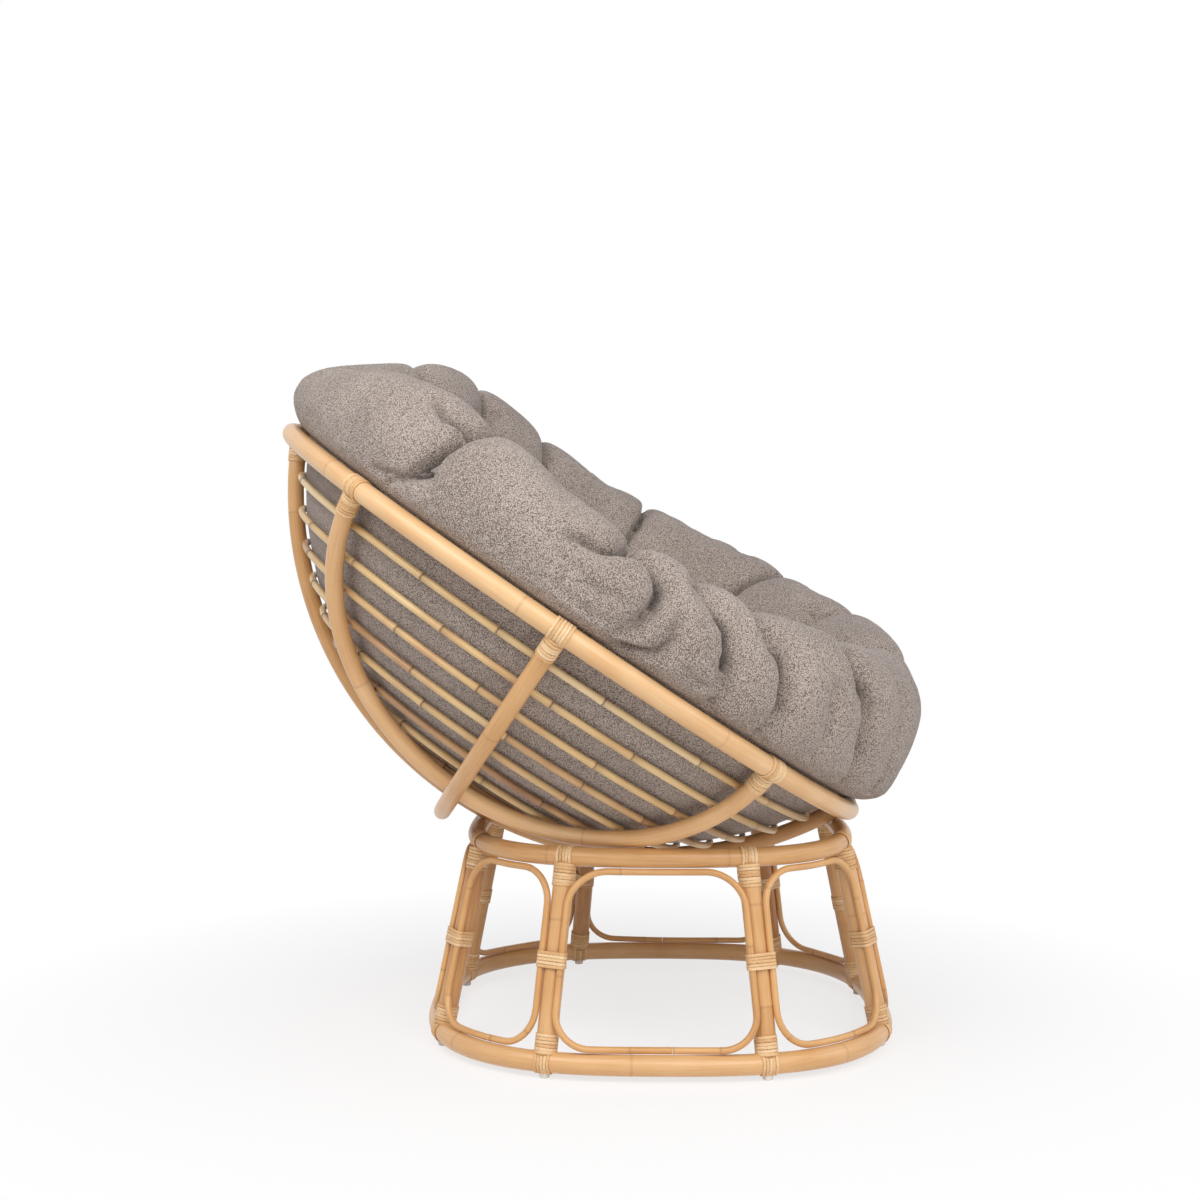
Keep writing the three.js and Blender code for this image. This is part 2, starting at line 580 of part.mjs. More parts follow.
function tuftDip(x, y) {
  let dip = Math.exp(-((x * x + y * y) / TUFT_WIDTH ** 2));
  for (let i = 0; i < TUFT_COUNT; i += 1) {
    const turn = (i / TUFT_COUNT) * FULL_TURN;
    const dx = x - TUFT_RADIUS * Math.cos(turn);
    const dy = y - TUFT_RADIUS * Math.sin(turn);
    dip = Math.max(dip, Math.exp(-((dx * dx + dy * dy) / TUFT_WIDTH ** 2)));
  }
  return TUFT_DEPTH * dip;
}

function makeCushion() {
  const positions = [];
  const faces = [];
  const firstSection = cushionSection(0);
  const rows = firstSection.length;
  for (let i = 0; i < CUSHION_STEPS; i += 1) {
    const degrees = (i / CUSHION_STEPS) * FULL_DEGREES;
    const section = cushionSection(degrees);
    const turn = rad(degrees) + Math.PI / 2;
    for (let j = 1; j < rows - 1; j += 1) {
      const x = section[j].x * Math.cos(turn);
      const y = section[j].x * Math.sin(turn);
      const isSeat = j > rows / 2 && section[j].x < SEAT_WALL_RADIUS;
      positions.push(x, y, section[j].y - rimDrop - (isSeat ? tuftDip(x, y) : 0));
    }
  }
  const ring = rows - 2;
  const middle = positions.length / 3;
  positions.push(0, 0, firstSection[0].y - rimDrop);
  positions.push(0, 0, firstSection[rows - 1].y - rimDrop - tuftDip(0, 0));
  for (let i = 0; i < CUSHION_STEPS; i += 1) {
    const a = i * ring;
    const b = ((i + 1) % CUSHION_STEPS) * ring;
    faces.push(middle, b, a);
    faces.push(middle + 1, a + ring - 1, b + ring - 1);
    for (let j = 0; j < ring - 1; j += 1) {
      faces.push(a + j, b + j, b + j + 1);
      faces.push(a + j, b + j + 1, a + j + 1);
    }
  }
  const geometry = new THREE.BufferGeometry();
  geometry.setAttribute('position', new THREE.Float32BufferAttribute(positions, 3));
  geometry.setIndex(faces);
  geometry.computeVertexNormals();
  return geometry;
}

addPiece(bowl, 'cushion', makeCushion(), materials.fabric);

// The origin is the middle of the chair's footprint on the floor
chair.updateMatrixWorld(true);
const extent = new THREE.Box3().setFromObject(chair, true);
chair.position.set(-(extent.min.x + extent.max.x) / 2, -(extent.min.y + extent.max.y) / 2, -extent.min.z);

export default chair;
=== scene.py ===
# %% [markdown]
# # A papasan chair
# A round bowl of bent rattan lies loose in the top hoop of a low rattan stand, and a big tufted cushion
# lies in the bowl. The solids of every piece are already made. This lesson gives each of them the look
# of the real thing: varnished cane with its growth joints, hand-wound peel, and a soft looped cloth.

# %% The solids, and the units
import math

import bpy
import numpy as np
from mathutils import Matrix, Vector
from mathutils.kdtree import KDTree


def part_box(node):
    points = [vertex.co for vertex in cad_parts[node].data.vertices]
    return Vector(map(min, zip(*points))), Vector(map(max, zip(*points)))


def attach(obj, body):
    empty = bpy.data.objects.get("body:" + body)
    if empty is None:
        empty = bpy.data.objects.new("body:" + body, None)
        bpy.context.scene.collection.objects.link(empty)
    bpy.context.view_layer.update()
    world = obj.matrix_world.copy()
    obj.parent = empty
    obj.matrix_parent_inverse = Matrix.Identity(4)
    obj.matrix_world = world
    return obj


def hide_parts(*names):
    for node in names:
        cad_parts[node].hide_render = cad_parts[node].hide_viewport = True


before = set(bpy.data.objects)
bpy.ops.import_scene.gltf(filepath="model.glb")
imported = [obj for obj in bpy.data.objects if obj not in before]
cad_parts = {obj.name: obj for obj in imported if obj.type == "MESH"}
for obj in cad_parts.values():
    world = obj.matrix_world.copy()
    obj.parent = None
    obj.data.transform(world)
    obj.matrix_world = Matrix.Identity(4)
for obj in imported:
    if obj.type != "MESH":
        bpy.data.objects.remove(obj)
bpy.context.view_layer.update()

MM = 0.001
UP = np.array([0.0, 0.0, 1.0])


def middle_of(node):
    """The middle of a solid's box, in metres."""
    lowest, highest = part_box(node)
    return np.array((lowest + highest) / 2)


def place_object(name, data):
    """A new object in the scene, at the origin and unturned."""
    thing = bpy.data.objects.new(name, data)
    bpy.context.scene.collection.objects.link(thing)
    return thing


stand_axis = middle_of("top_hoop") * [1, 1, 0]
print("solids:", len(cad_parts), "stand axis at", stand_axis.round(4))

# %% [markdown]
# ## The camera
# The photograph was taken from the chair's side, a little above the height of the seat's rim, with a
# longish lens. The place was worked out from the round hoops and the rim, whose shapes in the picture
# give the distance and the height. The lens is written as pixels across a picture 1200 pixels wide.

# %% Camera
CAMERA_DISTANCE = 2.6446
CAMERA_HEIGHT = 0.7202
CAMERA_AROUND = -0.0232
CAMERA_YAW = 0.0357
CAMERA_PITCH = -0.0191
FOCAL_PIXELS = 1642.74
PICTURE_PIXELS = 1200
SENSOR = 36.0

camera_data = bpy.data.cameras.new("photo_camera")
camera_data.sensor_width = SENSOR
camera_data.lens = FOCAL_PIXELS * SENSOR / PICTURE_PIXELS
camera = place_object("photo_camera", camera_data)
camera.location = Vector((
    stand_axis[0] - CAMERA_DISTANCE * math.cos(CAMERA_AROUND),
    stand_axis[1] - CAMERA_DISTANCE * math.sin(CAMERA_AROUND),
    CAMERA_HEIGHT,
))
heading = CAMERA_AROUND + CAMERA_YAW
view_direction = Vector((
    math.cos(heading) * math.cos(CAMERA_PITCH),
    math.sin(heading) * math.cos(CAMERA_PITCH),
    math.sin(CAMERA_PITCH),
))
camera.rotation_euler = view_direction.to_track_quat("-Z", "Y").to_euler()
bpy.context.scene.camera = camera
print("camera at", tuple(round(v, 3) for v in camera.location), "lens", round(camera_data.lens, 1), "mm")

# %% [markdown]
# ## Small helpers for materials
# Colours are written as the hex values one reads off a screen, and one function turns them into the
# linear numbers that Blender calculates with. Another small function adds a node and wires it up.


# %% Colours and nodes
def colour(hex_value):
    """An sRGB hex colour as linear red, green, blue and alpha."""
    channels = [int(hex_value[i:i + 2], 16) / 255 for i in (1, 3, 5)]
    linear = [c / 12.92 if c <= 0.04045 else ((c + 0.055) / 1.055) ** 2.4 for c in channels]
    return (*linear, 1.0)


def add_node(tree, kind, links=None, values=None, **settings):
    """A node of that kind, with its settings, its sockets' values, and links into its sockets."""
    node = tree.nodes.new(kind)
    for name, value in settings.items():
        setattr(node, name, value)
    for key, value in (values or {}).items():
        node.inputs[key].default_value = value
    for key, source in (links or {}).items():
        tree.links.new(source, node.inputs[key])
    return node


def new_material(name):
    """An empty node material with a shader and an output. Returns the material, its tree and the shader."""
    material = bpy.data.materials.new(name)
    material.use_nodes = True
    tree = material.node_tree
    tree.nodes.clear()
    shader = add_node(tree, "ShaderNodeBsdfPrincipled")
    add_node(tree, "ShaderNodeOutputMaterial", {"Surface": shader.outputs[0]})
    return material, tree, shader


def colour_stops(ramp_node, stops):
    """Sets a colour ramp to a list of (place, hex colour)."""
    ramp = ramp_node.color_ramp
    while len(ramp.elements) > 1:
        ramp.elements.remove(ramp.elements[-1])
    ramp.elements[0].position, ramp.elements[0].color = stops[0][0], colour(stops[0][1])
    for place, hex_value in stops[1:]:
        ramp.elements.new(place).color = colour(hex_value)
    return ramp_node


# %% [markdown]
# ## Rattan
# Rattan is a climbing palm. Its stems are solid, run long and even, and carry a growth joint every
# hand's width or two: a fine raised ring, a little darker than the honey-coloured skin. Fibres run along
# the stem as fine streaks, and the varnish gives a soft satin gloss. The streaks have to run along each
# bent pole, so the meshes carry a UV map in real metres, along and round the pole, and two numbers for
# each point: how close a growth joint is, and a tone that differs from pole to pole. On the posts at the
# back of the stand that tone is also darkened as painted shade.


# %% Rattan material
STREAK_LENGTH = 62.5 * MM
STREAK_WIDTH = 1.25 * MM


def rattan_material(name, stops, joint_hex, roughness, blotch_share):
    """Varnished rattan. The stops go from its darkest fibre to its lightest."""
    material, tree, shader = new_material(name)
    uv = add_node(tree, "ShaderNodeUVMap", uv_map="along_and_round").outputs[0]
    place = add_node(tree, "ShaderNodeTexCoord").outputs["Object"]
    # The tone is random for each pole and piece; on the posts at the back it also holds painted shade
    tone = add_node(tree, "ShaderNodeAttribute", attribute_name="tone").outputs["Fac"]
    joint = add_node(tree, "ShaderNodeAttribute", attribute_name="growth_joint").outputs["Fac"]
    shifted = add_node(tree, "ShaderNodeCombineXYZ", {"Z": tone}).outputs[0]
    stretched = add_node(tree, "ShaderNodeVectorMath", {0: uv}, {1: (1 / STREAK_LENGTH, 1 / STREAK_WIDTH, 1)},
                         operation="MULTIPLY").outputs[0]
    moved = add_node(tree, "ShaderNodeVectorMath", {0: stretched, 1: shifted}, operation="ADD").outputs[0]
    streaks = add_node(tree, "ShaderNodeTexNoise", {"Vector": moved},
                       {"Scale": 1.0, "Detail": 3.0, "Roughness": 0.55}).outputs[0]
    # Blotches where the skin was sanded or stained, 60 to 120 mm
    blotches = add_node(tree, "ShaderNodeTexNoise", {"Vector": place},
                        {"Scale": 11.0, "Detail": 2.0, "Roughness": 0.5}).outputs[0]
    mixed = add_node(tree, "ShaderNodeMix", {2: streaks, 3: blotches}, {0: blotch_share}).outputs[0]
    toned = add_node(tree, "ShaderNodeMath", {0: tone, 2: mixed}, {1: 0.32},
                     operation="MULTIPLY_ADD").outputs[0]
    skin = colour_stops(add_node(tree, "ShaderNodeValToRGB", {"Fac": toned}), stops).outputs[0]
    marked = add_node(tree, "ShaderNodeMix", {0: joint, 6: skin}, {7: colour(joint_hex)},
                      data_type="RGBA").outputs[2]
    tree.links.new(marked, shader.inputs["Base Color"])
    rough = add_node(tree, "ShaderNodeMapRange", {"Value": streaks},
                     {"To Min": roughness - 0.06, "To Max": roughness + 0.1}).outputs[0]
    tree.links.new(rough, shader.inputs["Roughness"])
    bump = add_node(tree, "ShaderNodeBump", {"Height": streaks}, {"Strength": 0.12, "Distance": 0.4 * MM})
    tree.links.new(bump.outputs[0], shader.inputs["Normal"])
    shader.inputs["Coat Weight"].default_value = 0.25
    shader.inputs["Coat Roughness"].default_value = 0.22
    return material


pole_rattan = rattan_material("varnished_rattan_pole", [
    (0.18, "#b87e47"), (0.42, "#d5a368"), (0.62, "#e0b27c"), (0.9, "#ebc694")], "#96653a", 0.36, 0.45)
ring_cane = rattan_material("varnished_rattan_cane", [
    (0.16, "#9b7150"), (0.38, "#c79d6c"), (0.6, "#dcba82"), (0.9, "#ecd3a4")], "#6b4a30", 0.42, 0.7)
loop_cane = rattan_material("steam_bent_cane", [
    (0.18, "#b67c48"), (0.42, "#d49f62"), (0.62, "#e2b276"), (0.9, "#edc790")], "#8a5a34", 0.4, 0.5)
print("rattan:", pole_rattan.name, ring_cane.name, loop_cane.name)

# %% [markdown]
# ## Drawing a bent pole
# A pole is a round section carried along a path. Each section needs to know which way is outwards, so
# that it never twists: outwards from the stand's axis for the stand, from the ball's centre for the bowl.
# The path is measured, growth joints are set out along it with a seeded random spacing, and extra
# sections are put at each joint for its small raised ring.


# %% Pole meshes
JOINT_FREE_END = 12 * MM  # a pole is cut at least this far behind its last joint
JOINT_SECTIONS = np.array([-9, -5, -2.5, -1.2, 0, 1.2, 2.5, 5, 9]) * MM
LEAST_STEP = 0.7 * MM
SWELL_BEFORE = 9 * MM
SWELL_BEHIND = 5 * MM
MARK_WIDTH = 1.6 * MM
STAIN_LENGTH = 15 * MM
STAIN_SHARE = 0.3
STAINED_FROM = 0.5  # canes whose joints are marked more than this are stained behind them too


def measure(path, closed=False):
    """Distance along a path at each of its points."""
    points = np.vstack([path, path[:1]]) if closed else path
    return np.concatenate([[0], np.cumsum(np.linalg.norm(np.diff(points, axis=0), axis=1))])


def growth_joints(length, spacing, rng):
    """Places of growth joints along a pole."""
    places, at = [], spacing * rng.uniform(0.2, 0.9)
    while at < length - JOINT_FREE_END:
        places.append(at)
        at += spacing * rng.uniform(0.75, 1.25)
    return np.array(places)


def make_pole(name, path, outward, diameter, body, replaced, material, joint_spacing, seed,
              closed=False, sides=20, step=9 * MM, joint_height=0.12 * MM, joint_mark=0.3, tone_spread=0.8,
              painted_shade_shift=0.0, crook=0.0):
    """A smooth pole along a dense path, for the solids that it replaces.

    The joint values are how far a growth joint stands out, how much it is marked, and how far apart the
    joints are. The tone spread sets the pole's own random tone, the shift darkens it as painted shade,
    and the crook sets how far it leans at a joint.
    """
    rng = np.random.default_rng(seed)
    along = measure(path, closed)
    length = along[-1]
    if closed:
        path = np.vstack([path, path[:1]])
        outward = np.vstack([outward, outward[:1]])
    joints = growth_joints(length, joint_spacing, rng)
    stations = np.concatenate([np.linspace(0, length, max(4, int(length / step) + 1)),
                               (joints[:, None] + JOINT_SECTIONS).ravel()])
    stations = np.unique(np.round(stations[(stations >= 0) & (stations <= length)], 5))
    stations = stations[np.concatenate([[True], np.diff(stations) > LEAST_STEP])]
    if closed:
        stations = stations[stations < length - 2 * MM]

    def at(values):
        return np.stack([np.interp(stations, along, values[:, k]) for k in range(3)], 1)

    centre = at(path)
    ahead = at(np.gradient(path, axis=0) if not closed else
               np.gradient(np.vstack([path[-2:-1], path, path[1:2]]), axis=0)[1:-1])
    ahead /= np.linalg.norm(ahead, axis=1)[:, None]
    out = at(outward)
    sideways = np.cross(ahead, out)
    sideways /= np.linalg.norm(sideways, axis=1)[:, None]
    out = np.cross(sideways, ahead)
    gap = stations[:, None] - joints[None, :] if len(joints) else np.full((len(stations), 1), 9.0)
    signed = gap[np.arange(len(stations)), np.abs(gap).argmin(1)]
    nearest = np.abs(signed)
    # A stem swells up to its joint and starts thinner behind it
    swell = joint_height * np.where(signed < 0, np.exp(-(nearest / SWELL_BEFORE) ** 2),
                                    -0.5 * np.exp(-(nearest / SWELL_BEHIND) ** 2))
    # A stem is never quite straight: it leans a little at each joint
    if crook and len(joints):
        lean = np.interp(stations, np.concatenate([[0], joints, [length]]),
                         np.concatenate([[0], rng.uniform(-crook, crook, len(joints)), [0]]))
        centre = centre + sideways * lean[:, None]
    radius = diameter / 2 - joint_height * 0.4 + swell
    turns = np.linspace(0, 2 * np.pi, sides, endpoint=False)
    ring = (np.cos(turns)[None, :, None] * out[:, None, :]
            + np.sin(turns)[None, :, None] * sideways[:, None, :])
    points = centre[:, None, :] + ring * radius[:, None, None]
    count = len(stations)
    spans = count if closed else count - 1
    i, k = np.meshgrid(np.arange(spans), np.arange(sides), indexing="ij")
    i2, k2 = (i + 1) % count, (k + 1) % sides
    faces = np.stack([i * sides + k, i * sides + k2, i2 * sides + k2, i2 * sides + k], -1).reshape(-1, 4)
    round_step = np.pi * diameter / sides
    far = np.where(i + 1 == count, length, stations[np.minimum(i + 1, count - 1)])
    uv = np.stack([
        np.stack([stations[i], k * round_step], -1), np.stack([stations[i], (k + 1) * round_step], -1),
        np.stack([far, (k + 1) * round_step], -1), np.stack([far, k * round_step], -1)], 2).reshape(-1, 2)
    vertices = points.reshape(-1, 3)
    face_list = faces[:, ::-1].tolist()
    uv = uv.reshape(-1, 4, 2)[:, ::-1].reshape(-1, 2)
    if not closed:
        face_list += [list(range(sides)), list(range((count - 1) * sides, count * sides))[::-1]]
        uv = np.vstack([uv, np.zeros((2 * sides, 2))])
    mesh = bpy.data.meshes.new(name)
    mesh.from_pydata(vertices.tolist(), [], face_list)
    mesh.uv_layers.new(name="along_and_round").data.foreach_set("uv", uv.ravel())
    stain = STAIN_SHARE * np.exp(-(nearest / STAIN_LENGTH) ** 2) * (signed > 0) * (joint_mark > STAINED_FROM)
    mark = np.maximum(np.exp(-(nearest / MARK_WIDTH) ** 2), stain) * joint_mark
    # A random tone for the pole, plus the shift that darkens the posts at the back as painted shade
    tone = tone_spread * rng.uniform(-0.5, 0.5) + painted_shade_shift
    # Each length between two joints has its own tone
    piece_tone = rng.uniform(-0.25, 0.25, len(joints) + 1)[np.searchsorted(joints, stations)] * tone_spread
    for key, values in (("growth_joint", mark), ("tone", tone + piece_tone)):
        mesh.attributes.new(key, "FLOAT", "POINT").data.foreach_set("value", np.repeat(values, sides))
    mesh.polygons.foreach_set("use_smooth", [len(f) == 4 for f in face_list])
    mesh.materials.append(material)
    mesh.validate()
    pole = place_object(name, mesh)
    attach(pole, body)
    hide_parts(*replaced)
    return pole


# %% [markdown]
# ## The stand
# Two hoops, bent a little square, are joined by eight leaning posts. In each bay a thinner cane is bent
# into a rounded panel. The sizes are those of the solids, and the same formulas draw them here with
# smooth, round sections.

# %% Sizes of the stand
TOP_HOOP_RADIUS = 289 * MM
TOP_HOOP_POLE = 28 * MM
TOP_HOOP_HEIGHT = 304 * MM
BOTTOM_HOOP_RADIUS = 349 * MM
BOTTOM_HOOP_POLE = 30 * MM
HOOP_CORNER_SHARE = 0.1
GLIDE_HEIGHT = 7 * MM
GLIDE_WIDTH = 15 * MM
GLIDE_TOP = 10.5 * MM  # inside the hoop
POST_POLE = 30 * MM
POST_TURNS = [22, 61, 118, 153, 203.5, 243, 291, 325.5]
LOOP_CANE = 10 * MM
LOOP_CORNER = 50 * MM
LOOP_OUTSET = 12.5 * MM
LOOP_END_SHIFT = 24 * MM
LOOP_END_GAP = 0.4 * MM
MIDDLE_WRAP_SHARE = 0.51
JOINT_GAP = 0.3 * MM
BOTTOM_HOOP_HEIGHT = GLIDE_HEIGHT + BOTTOM_HOOP_POLE / 2
STAND_HEIGHT = TOP_HOOP_HEIGHT - BOTTOM_HOOP_HEIGHT


def square_share(turn):
    """How far the hoops reach in a direction, as a share of their reach to a flat side."""
    return 1 + HOOP_CORNER_SHARE * np.sin(2 * turn) ** 2


def on_stand(turn, radius, height):
    """A point of the stand from its turn about the axis, its reach and its height."""
    turn, radius, height = np.broadcast_arrays(turn, radius, height)
    return stand_axis + np.stack([radius * np.cos(turn), radius * np.sin(turn), height], -1)


def from_axis(points):
    """The level direction away from the stand's axis at each point."""
    out = (points - stand_axis) * [1, 1, 0]
    return out / np.linalg.norm(out, axis=-1, keepdims=True)


# %% Hoops
def make_hoop(node, radius, pole, height, seed):
    turns = np.linspace(0, 2 * np.pi, 720, endpoint=False)
    path = on_stand(turns, radius * square_share(turns), height)
    return make_pole(f"{node}_rattan", path, from_axis(path), pole, "stand", [node], pole_rattan,
                     0.34, seed, closed=True, sides=28)


hoops = [make_hoop("top_hoop", TOP_HOOP_RADIUS, TOP_HOOP_POLE, TOP_HOOP_HEIGHT, 11),
         make_hoop("bottom_hoop", BOTTOM_HOOP_RADIUS, BOTTOM_HOOP_POLE, BOTTOM_HOOP_HEIGHT, 12)]
print("hoops:", [len(h.data.vertices) for h in hoops], "points")


# %% Posts
def post_point(turn, share):
    """A point on a post's centre line, a share of the way down."""
    share = np.asarray(share, float)
    reach = (TOP_HOOP_RADIUS + (BOTTOM_HOOP_RADIUS - TOP_HOOP_RADIUS) * share) * square_share(turn)
    return on_stand(turn, reach, TOP_HOOP_HEIGHT - STAND_HEIGHT * share)


# The posts at the back of the stand are given a darker tone: painted shade, for the shade they stand in under
# the bowl
POST_PAINTED_SHADE = [-0.8, -0.8, -0.5, 0, 0, 0, -0.2, -0.8]
POST_ENDS = (0.03, 0.97)  # where the posts end inside the hoops, as shares of the way down
posts = []
for number, degrees in enumerate(POST_TURNS, 1):
    turn = math.radians(degrees)
    path = post_point(turn, np.linspace(*POST_ENDS, 40))
    posts.append(make_pole(f"post_{number}_rattan", path, from_axis(path), POST_POLE, "stand",
                           [f"post_{number}"], pole_rattan, 0.19, 20 + number, sides=24,
                           painted_shade_shift=POST_PAINTED_SHADE[number - 1], crook=1.0 * MM))
print("posts:", len(posts))


# %% Panel loops
def post_lean(turn):
    return math.atan2((BOTTOM_HOOP_RADIUS - TOP_HOOP_RADIUS) * square_share(turn), STAND_HEIGHT)


CANE_REACH = (POST_POLE + LOOP_CANE) / 2 + JOINT_GAP
CANE_SIDEWAYS = math.sqrt(CANE_REACH ** 2 - LOOP_OUTSET ** 2)


def side_cane(post_turn, side, drop):
    """Turn, reach and height of a loop's side cane, which nests against its post."""
    share = drop / STAND_HEIGHT
    lean = post_lean(post_turn)
    out = ((TOP_HOOP_RADIUS + (BOTTOM_HOOP_RADIUS - TOP_HOOP_RADIUS) * share) * square_share(post_turn)
           + LOOP_OUTSET * math.cos(lean))
    return (post_turn - side * math.atan2(CANE_SIDEWAYS, out), math.hypot(out, CANE_SIDEWAYS),
            TOP_HOOP_HEIGHT - drop + LOOP_OUTSET * math.sin(lean))


def loop_point(from_turn, to_turn, across, drop):
    """A point on a panel: across its bay from -1 to 1, and a drop below the top hoop."""
    near, far = side_cane(from_turn, -1, drop), side_cane(to_turn, 1, drop)
    turn = near[0] + (far[0] - near[0]) * (across + 1) / 2
    level = TOP_HOOP_RADIUS + (BOTTOM_HOOP_RADIUS - TOP_HOOP_RADIUS) * drop / STAND_HEIGHT
    beside = near if across < 0 else far
    outset = across ** 2 * (beside[1] - level * square_share(beside[0]))
    height = TOP_HOOP_HEIGHT - drop
    return on_stand(turn, level * square_share(turn) + outset, height + across ** 2 * (beside[2] - height))


def loop_path(from_turn, to_turn):
    """The centre line of one bay's bent cane, from one end of its scarf joint round to the other."""
    top = (TOP_HOOP_POLE + LOOP_CANE) / 2 + JOINT_GAP
    bottom = STAND_HEIGHT - (BOTTOM_HOOP_POLE + LOOP_CANE) / 2 - JOINT_GAP

    def half_width(drop):
        return np.linalg.norm(loop_point(from_turn, to_turn, -1, drop)
                              - loop_point(from_turn, to_turn, 1, drop)) / 2

    places = []

    def run(drop, start, end):
        places.extend((x / half_width(drop), drop) for x in np.linspace(start, end, 24))

    def corner(side, drop, start, end):
        for turn in np.linspace(start, end, 16):
            level = drop - LOOP_CORNER * math.sin(turn)
            places.append((side * (1 - LOOP_CORNER * (1 - abs(math.cos(turn))) / half_width(level)), level))

    quarter = math.pi / 2
    flat_bottom, flat_top = half_width(bottom) - LOOP_CORNER, half_width(top) - LOOP_CORNER
    run(bottom, LOOP_END_SHIFT - LOOP_END_GAP / 2, -flat_bottom)
    corner(-1, bottom - LOOP_CORNER, -quarter, 0)
    places.extend((-1, drop) for drop in np.linspace(bottom - LOOP_CORNER, top + LOOP_CORNER, 24))
    corner(-1, top + LOOP_CORNER, 0, quarter)
    run(top, -flat_top, flat_top)
    corner(1, top + LOOP_CORNER, quarter, 0)
    places.extend((1, drop) for drop in np.linspace(top + LOOP_CORNER, bottom - LOOP_CORNER, 24))
    corner(1, bottom - LOOP_CORNER, 0, -quarter)
    run(bottom, flat_bottom, LOOP_END_SHIFT + LOOP_END_GAP / 2)
    path = np.array([loop_point(from_turn, to_turn, *place) for place in places])
    keep = np.concatenate([[True], np.linalg.norm(np.diff(path, axis=0), axis=1) > 0.3 * MM])
    return path[keep]


loops = []
for number, degrees in enumerate(POST_TURNS, 1):
    following = POST_TURNS[number] if number < len(POST_TURNS) else POST_TURNS[0] + 360
    path = loop_path(math.radians(degrees), math.radians(following))
    loops.append(make_pole(f"panel_loop_{number}_cane", path, from_axis(path), LOOP_CANE, "stand",
                           [f"panel_loop_{number}"], loop_cane, 0.21, 40 + number, sides=14, step=6 * MM,
                           joint_height=0.15 * MM, joint_mark=0.35))
print("panel loops:", len(loops))

# %% [markdown]
# ## The bowl
# The bowl is a part of a ball. Its rim is one thick hoop, four poles carry it and cross below, and nine
# thinner canes lie inside them as rings. Everything is drawn in the bowl's own frame, whose axis leans
# forward, and then placed.

# %% Sizes of the bowl
RIM_RADIUS = 530 * MM
RIM_POLE = 30 * MM
BOWL_DEPTH = 338 * MM
BOWL_TILT = math.radians(34.1)
BOWL_POLE = 26 * MM
OUTER_POLE_SHARE = 0.42
SIDE_POLE_TURN = math.radians(50)
SIDE_POLE_LEAN = math.radians(32.5)
RING_CANE = 11 * MM
RING_COUNT = 9
RING_SPACING = 55 * MM
FIRST_RING_DROP = 66 * MM
LAYER_GAP = 0.8 * MM
BOWL_SETTLE = 0.1 * MM
BOWL_RADIUS = (RIM_RADIUS ** 2 + BOWL_DEPTH ** 2) / (2 * BOWL_DEPTH)
RIM_DROP = BOWL_RADIUS - BOWL_DEPTH
RIM_ANGLE = math.atan2(RIM_RADIUS, RIM_DROP)
RING_RADIUS = BOWL_RADIUS - BOWL_POLE / 2 - LAYER_GAP - RING_CANE / 2
REST_DISTANCE = BOWL_RADIUS + (BOWL_POLE + TOP_HOOP_POLE) / 2 - BOWL_SETTLE
ball_centre = stand_axis + UP * (TOP_HOOP_HEIGHT + math.sqrt(REST_DISTANCE ** 2 - TOP_HOOP_RADIUS ** 2))
bowl_axis = np.array([0, -math.sin(BOWL_TILT), math.cos(BOWL_TILT)])
bowl_back = np.array([0, math.cos(BOWL_TILT), math.sin(BOWL_TILT)])
bowl_right = np.array([1.0, 0, 0])


def in_bowl(points):
    """Places points given in the bowl's frame: to the right, to the back, and out along its axis."""
    points = np.asarray(points, float)
    right, back, up = (points[..., k:k + 1] for k in range(3))
    return ball_centre + right * bowl_right + back * bowl_back + up * bowl_axis


def from_ball(points):
    """The direction away from the middle of the bowl's ball at each point."""
    out = points - ball_centre
    return out / np.linalg.norm(out, axis=-1, keepdims=True)


# %% Rim and rings
turns = np.linspace(0, 2 * np.pi, 1200, endpoint=False)
circle = np.stack([np.cos(turns), np.sin(turns), np.zeros_like(turns)], 1)
path = in_bowl(circle * RIM_RADIUS + [0, 0, -RIM_DROP])
level_out = in_bowl(circle) - ball_centre
make_pole("rim_rattan", path, level_out, RIM_POLE, "bowl", ["rim"], pole_rattan, 0.42, 5,
          closed=True, sides=28, step=8 * MM)
rings = []
for number in range(1, RING_COUNT + 1):
    up_wall = RIM_ANGLE - (FIRST_RING_DROP + (number - 1) * RING_SPACING) / BOWL_RADIUS
    path = in_bowl(circle[::2] * RING_RADIUS * math.sin(up_wall) - [0, 0, RING_RADIUS * math.cos(up_wall)])
    rings.append(make_pole(f"ring_{number}_cane", path, from_ball(path), RING_CANE, "bowl",
                           [f"ring_{number}"], ring_cane, 0.155, 60 + number, closed=True, sides=14,
                           step=8 * MM, joint_height=0.8 * MM, joint_mark=0.9, tone_spread=1.6))
print("rim and rings:", 1 + len(rings))


# %% Bowl poles
def meridian(offset, quarter):
    """A pole in a plane through the bowl's axis. The outer one passes below the others in the middle."""
    turn = np.linspace(-RIM_ANGLE, RIM_ANGLE, 300)
    rise = np.abs(turn) / RIM_ANGLE
    share = np.clip((rise - OUTER_POLE_SHARE) / (1 - OUTER_POLE_SHARE), 0, 1)
    radius = BOWL_RADIUS + offset * (1 - share ** 2 * (3 - 2 * share))
    flat = np.stack([radius * np.sin(turn), np.zeros_like(turn), -radius * np.cos(turn)], 1)
    return flat if quarter == 0 else flat[:, [1, 0, 2]]


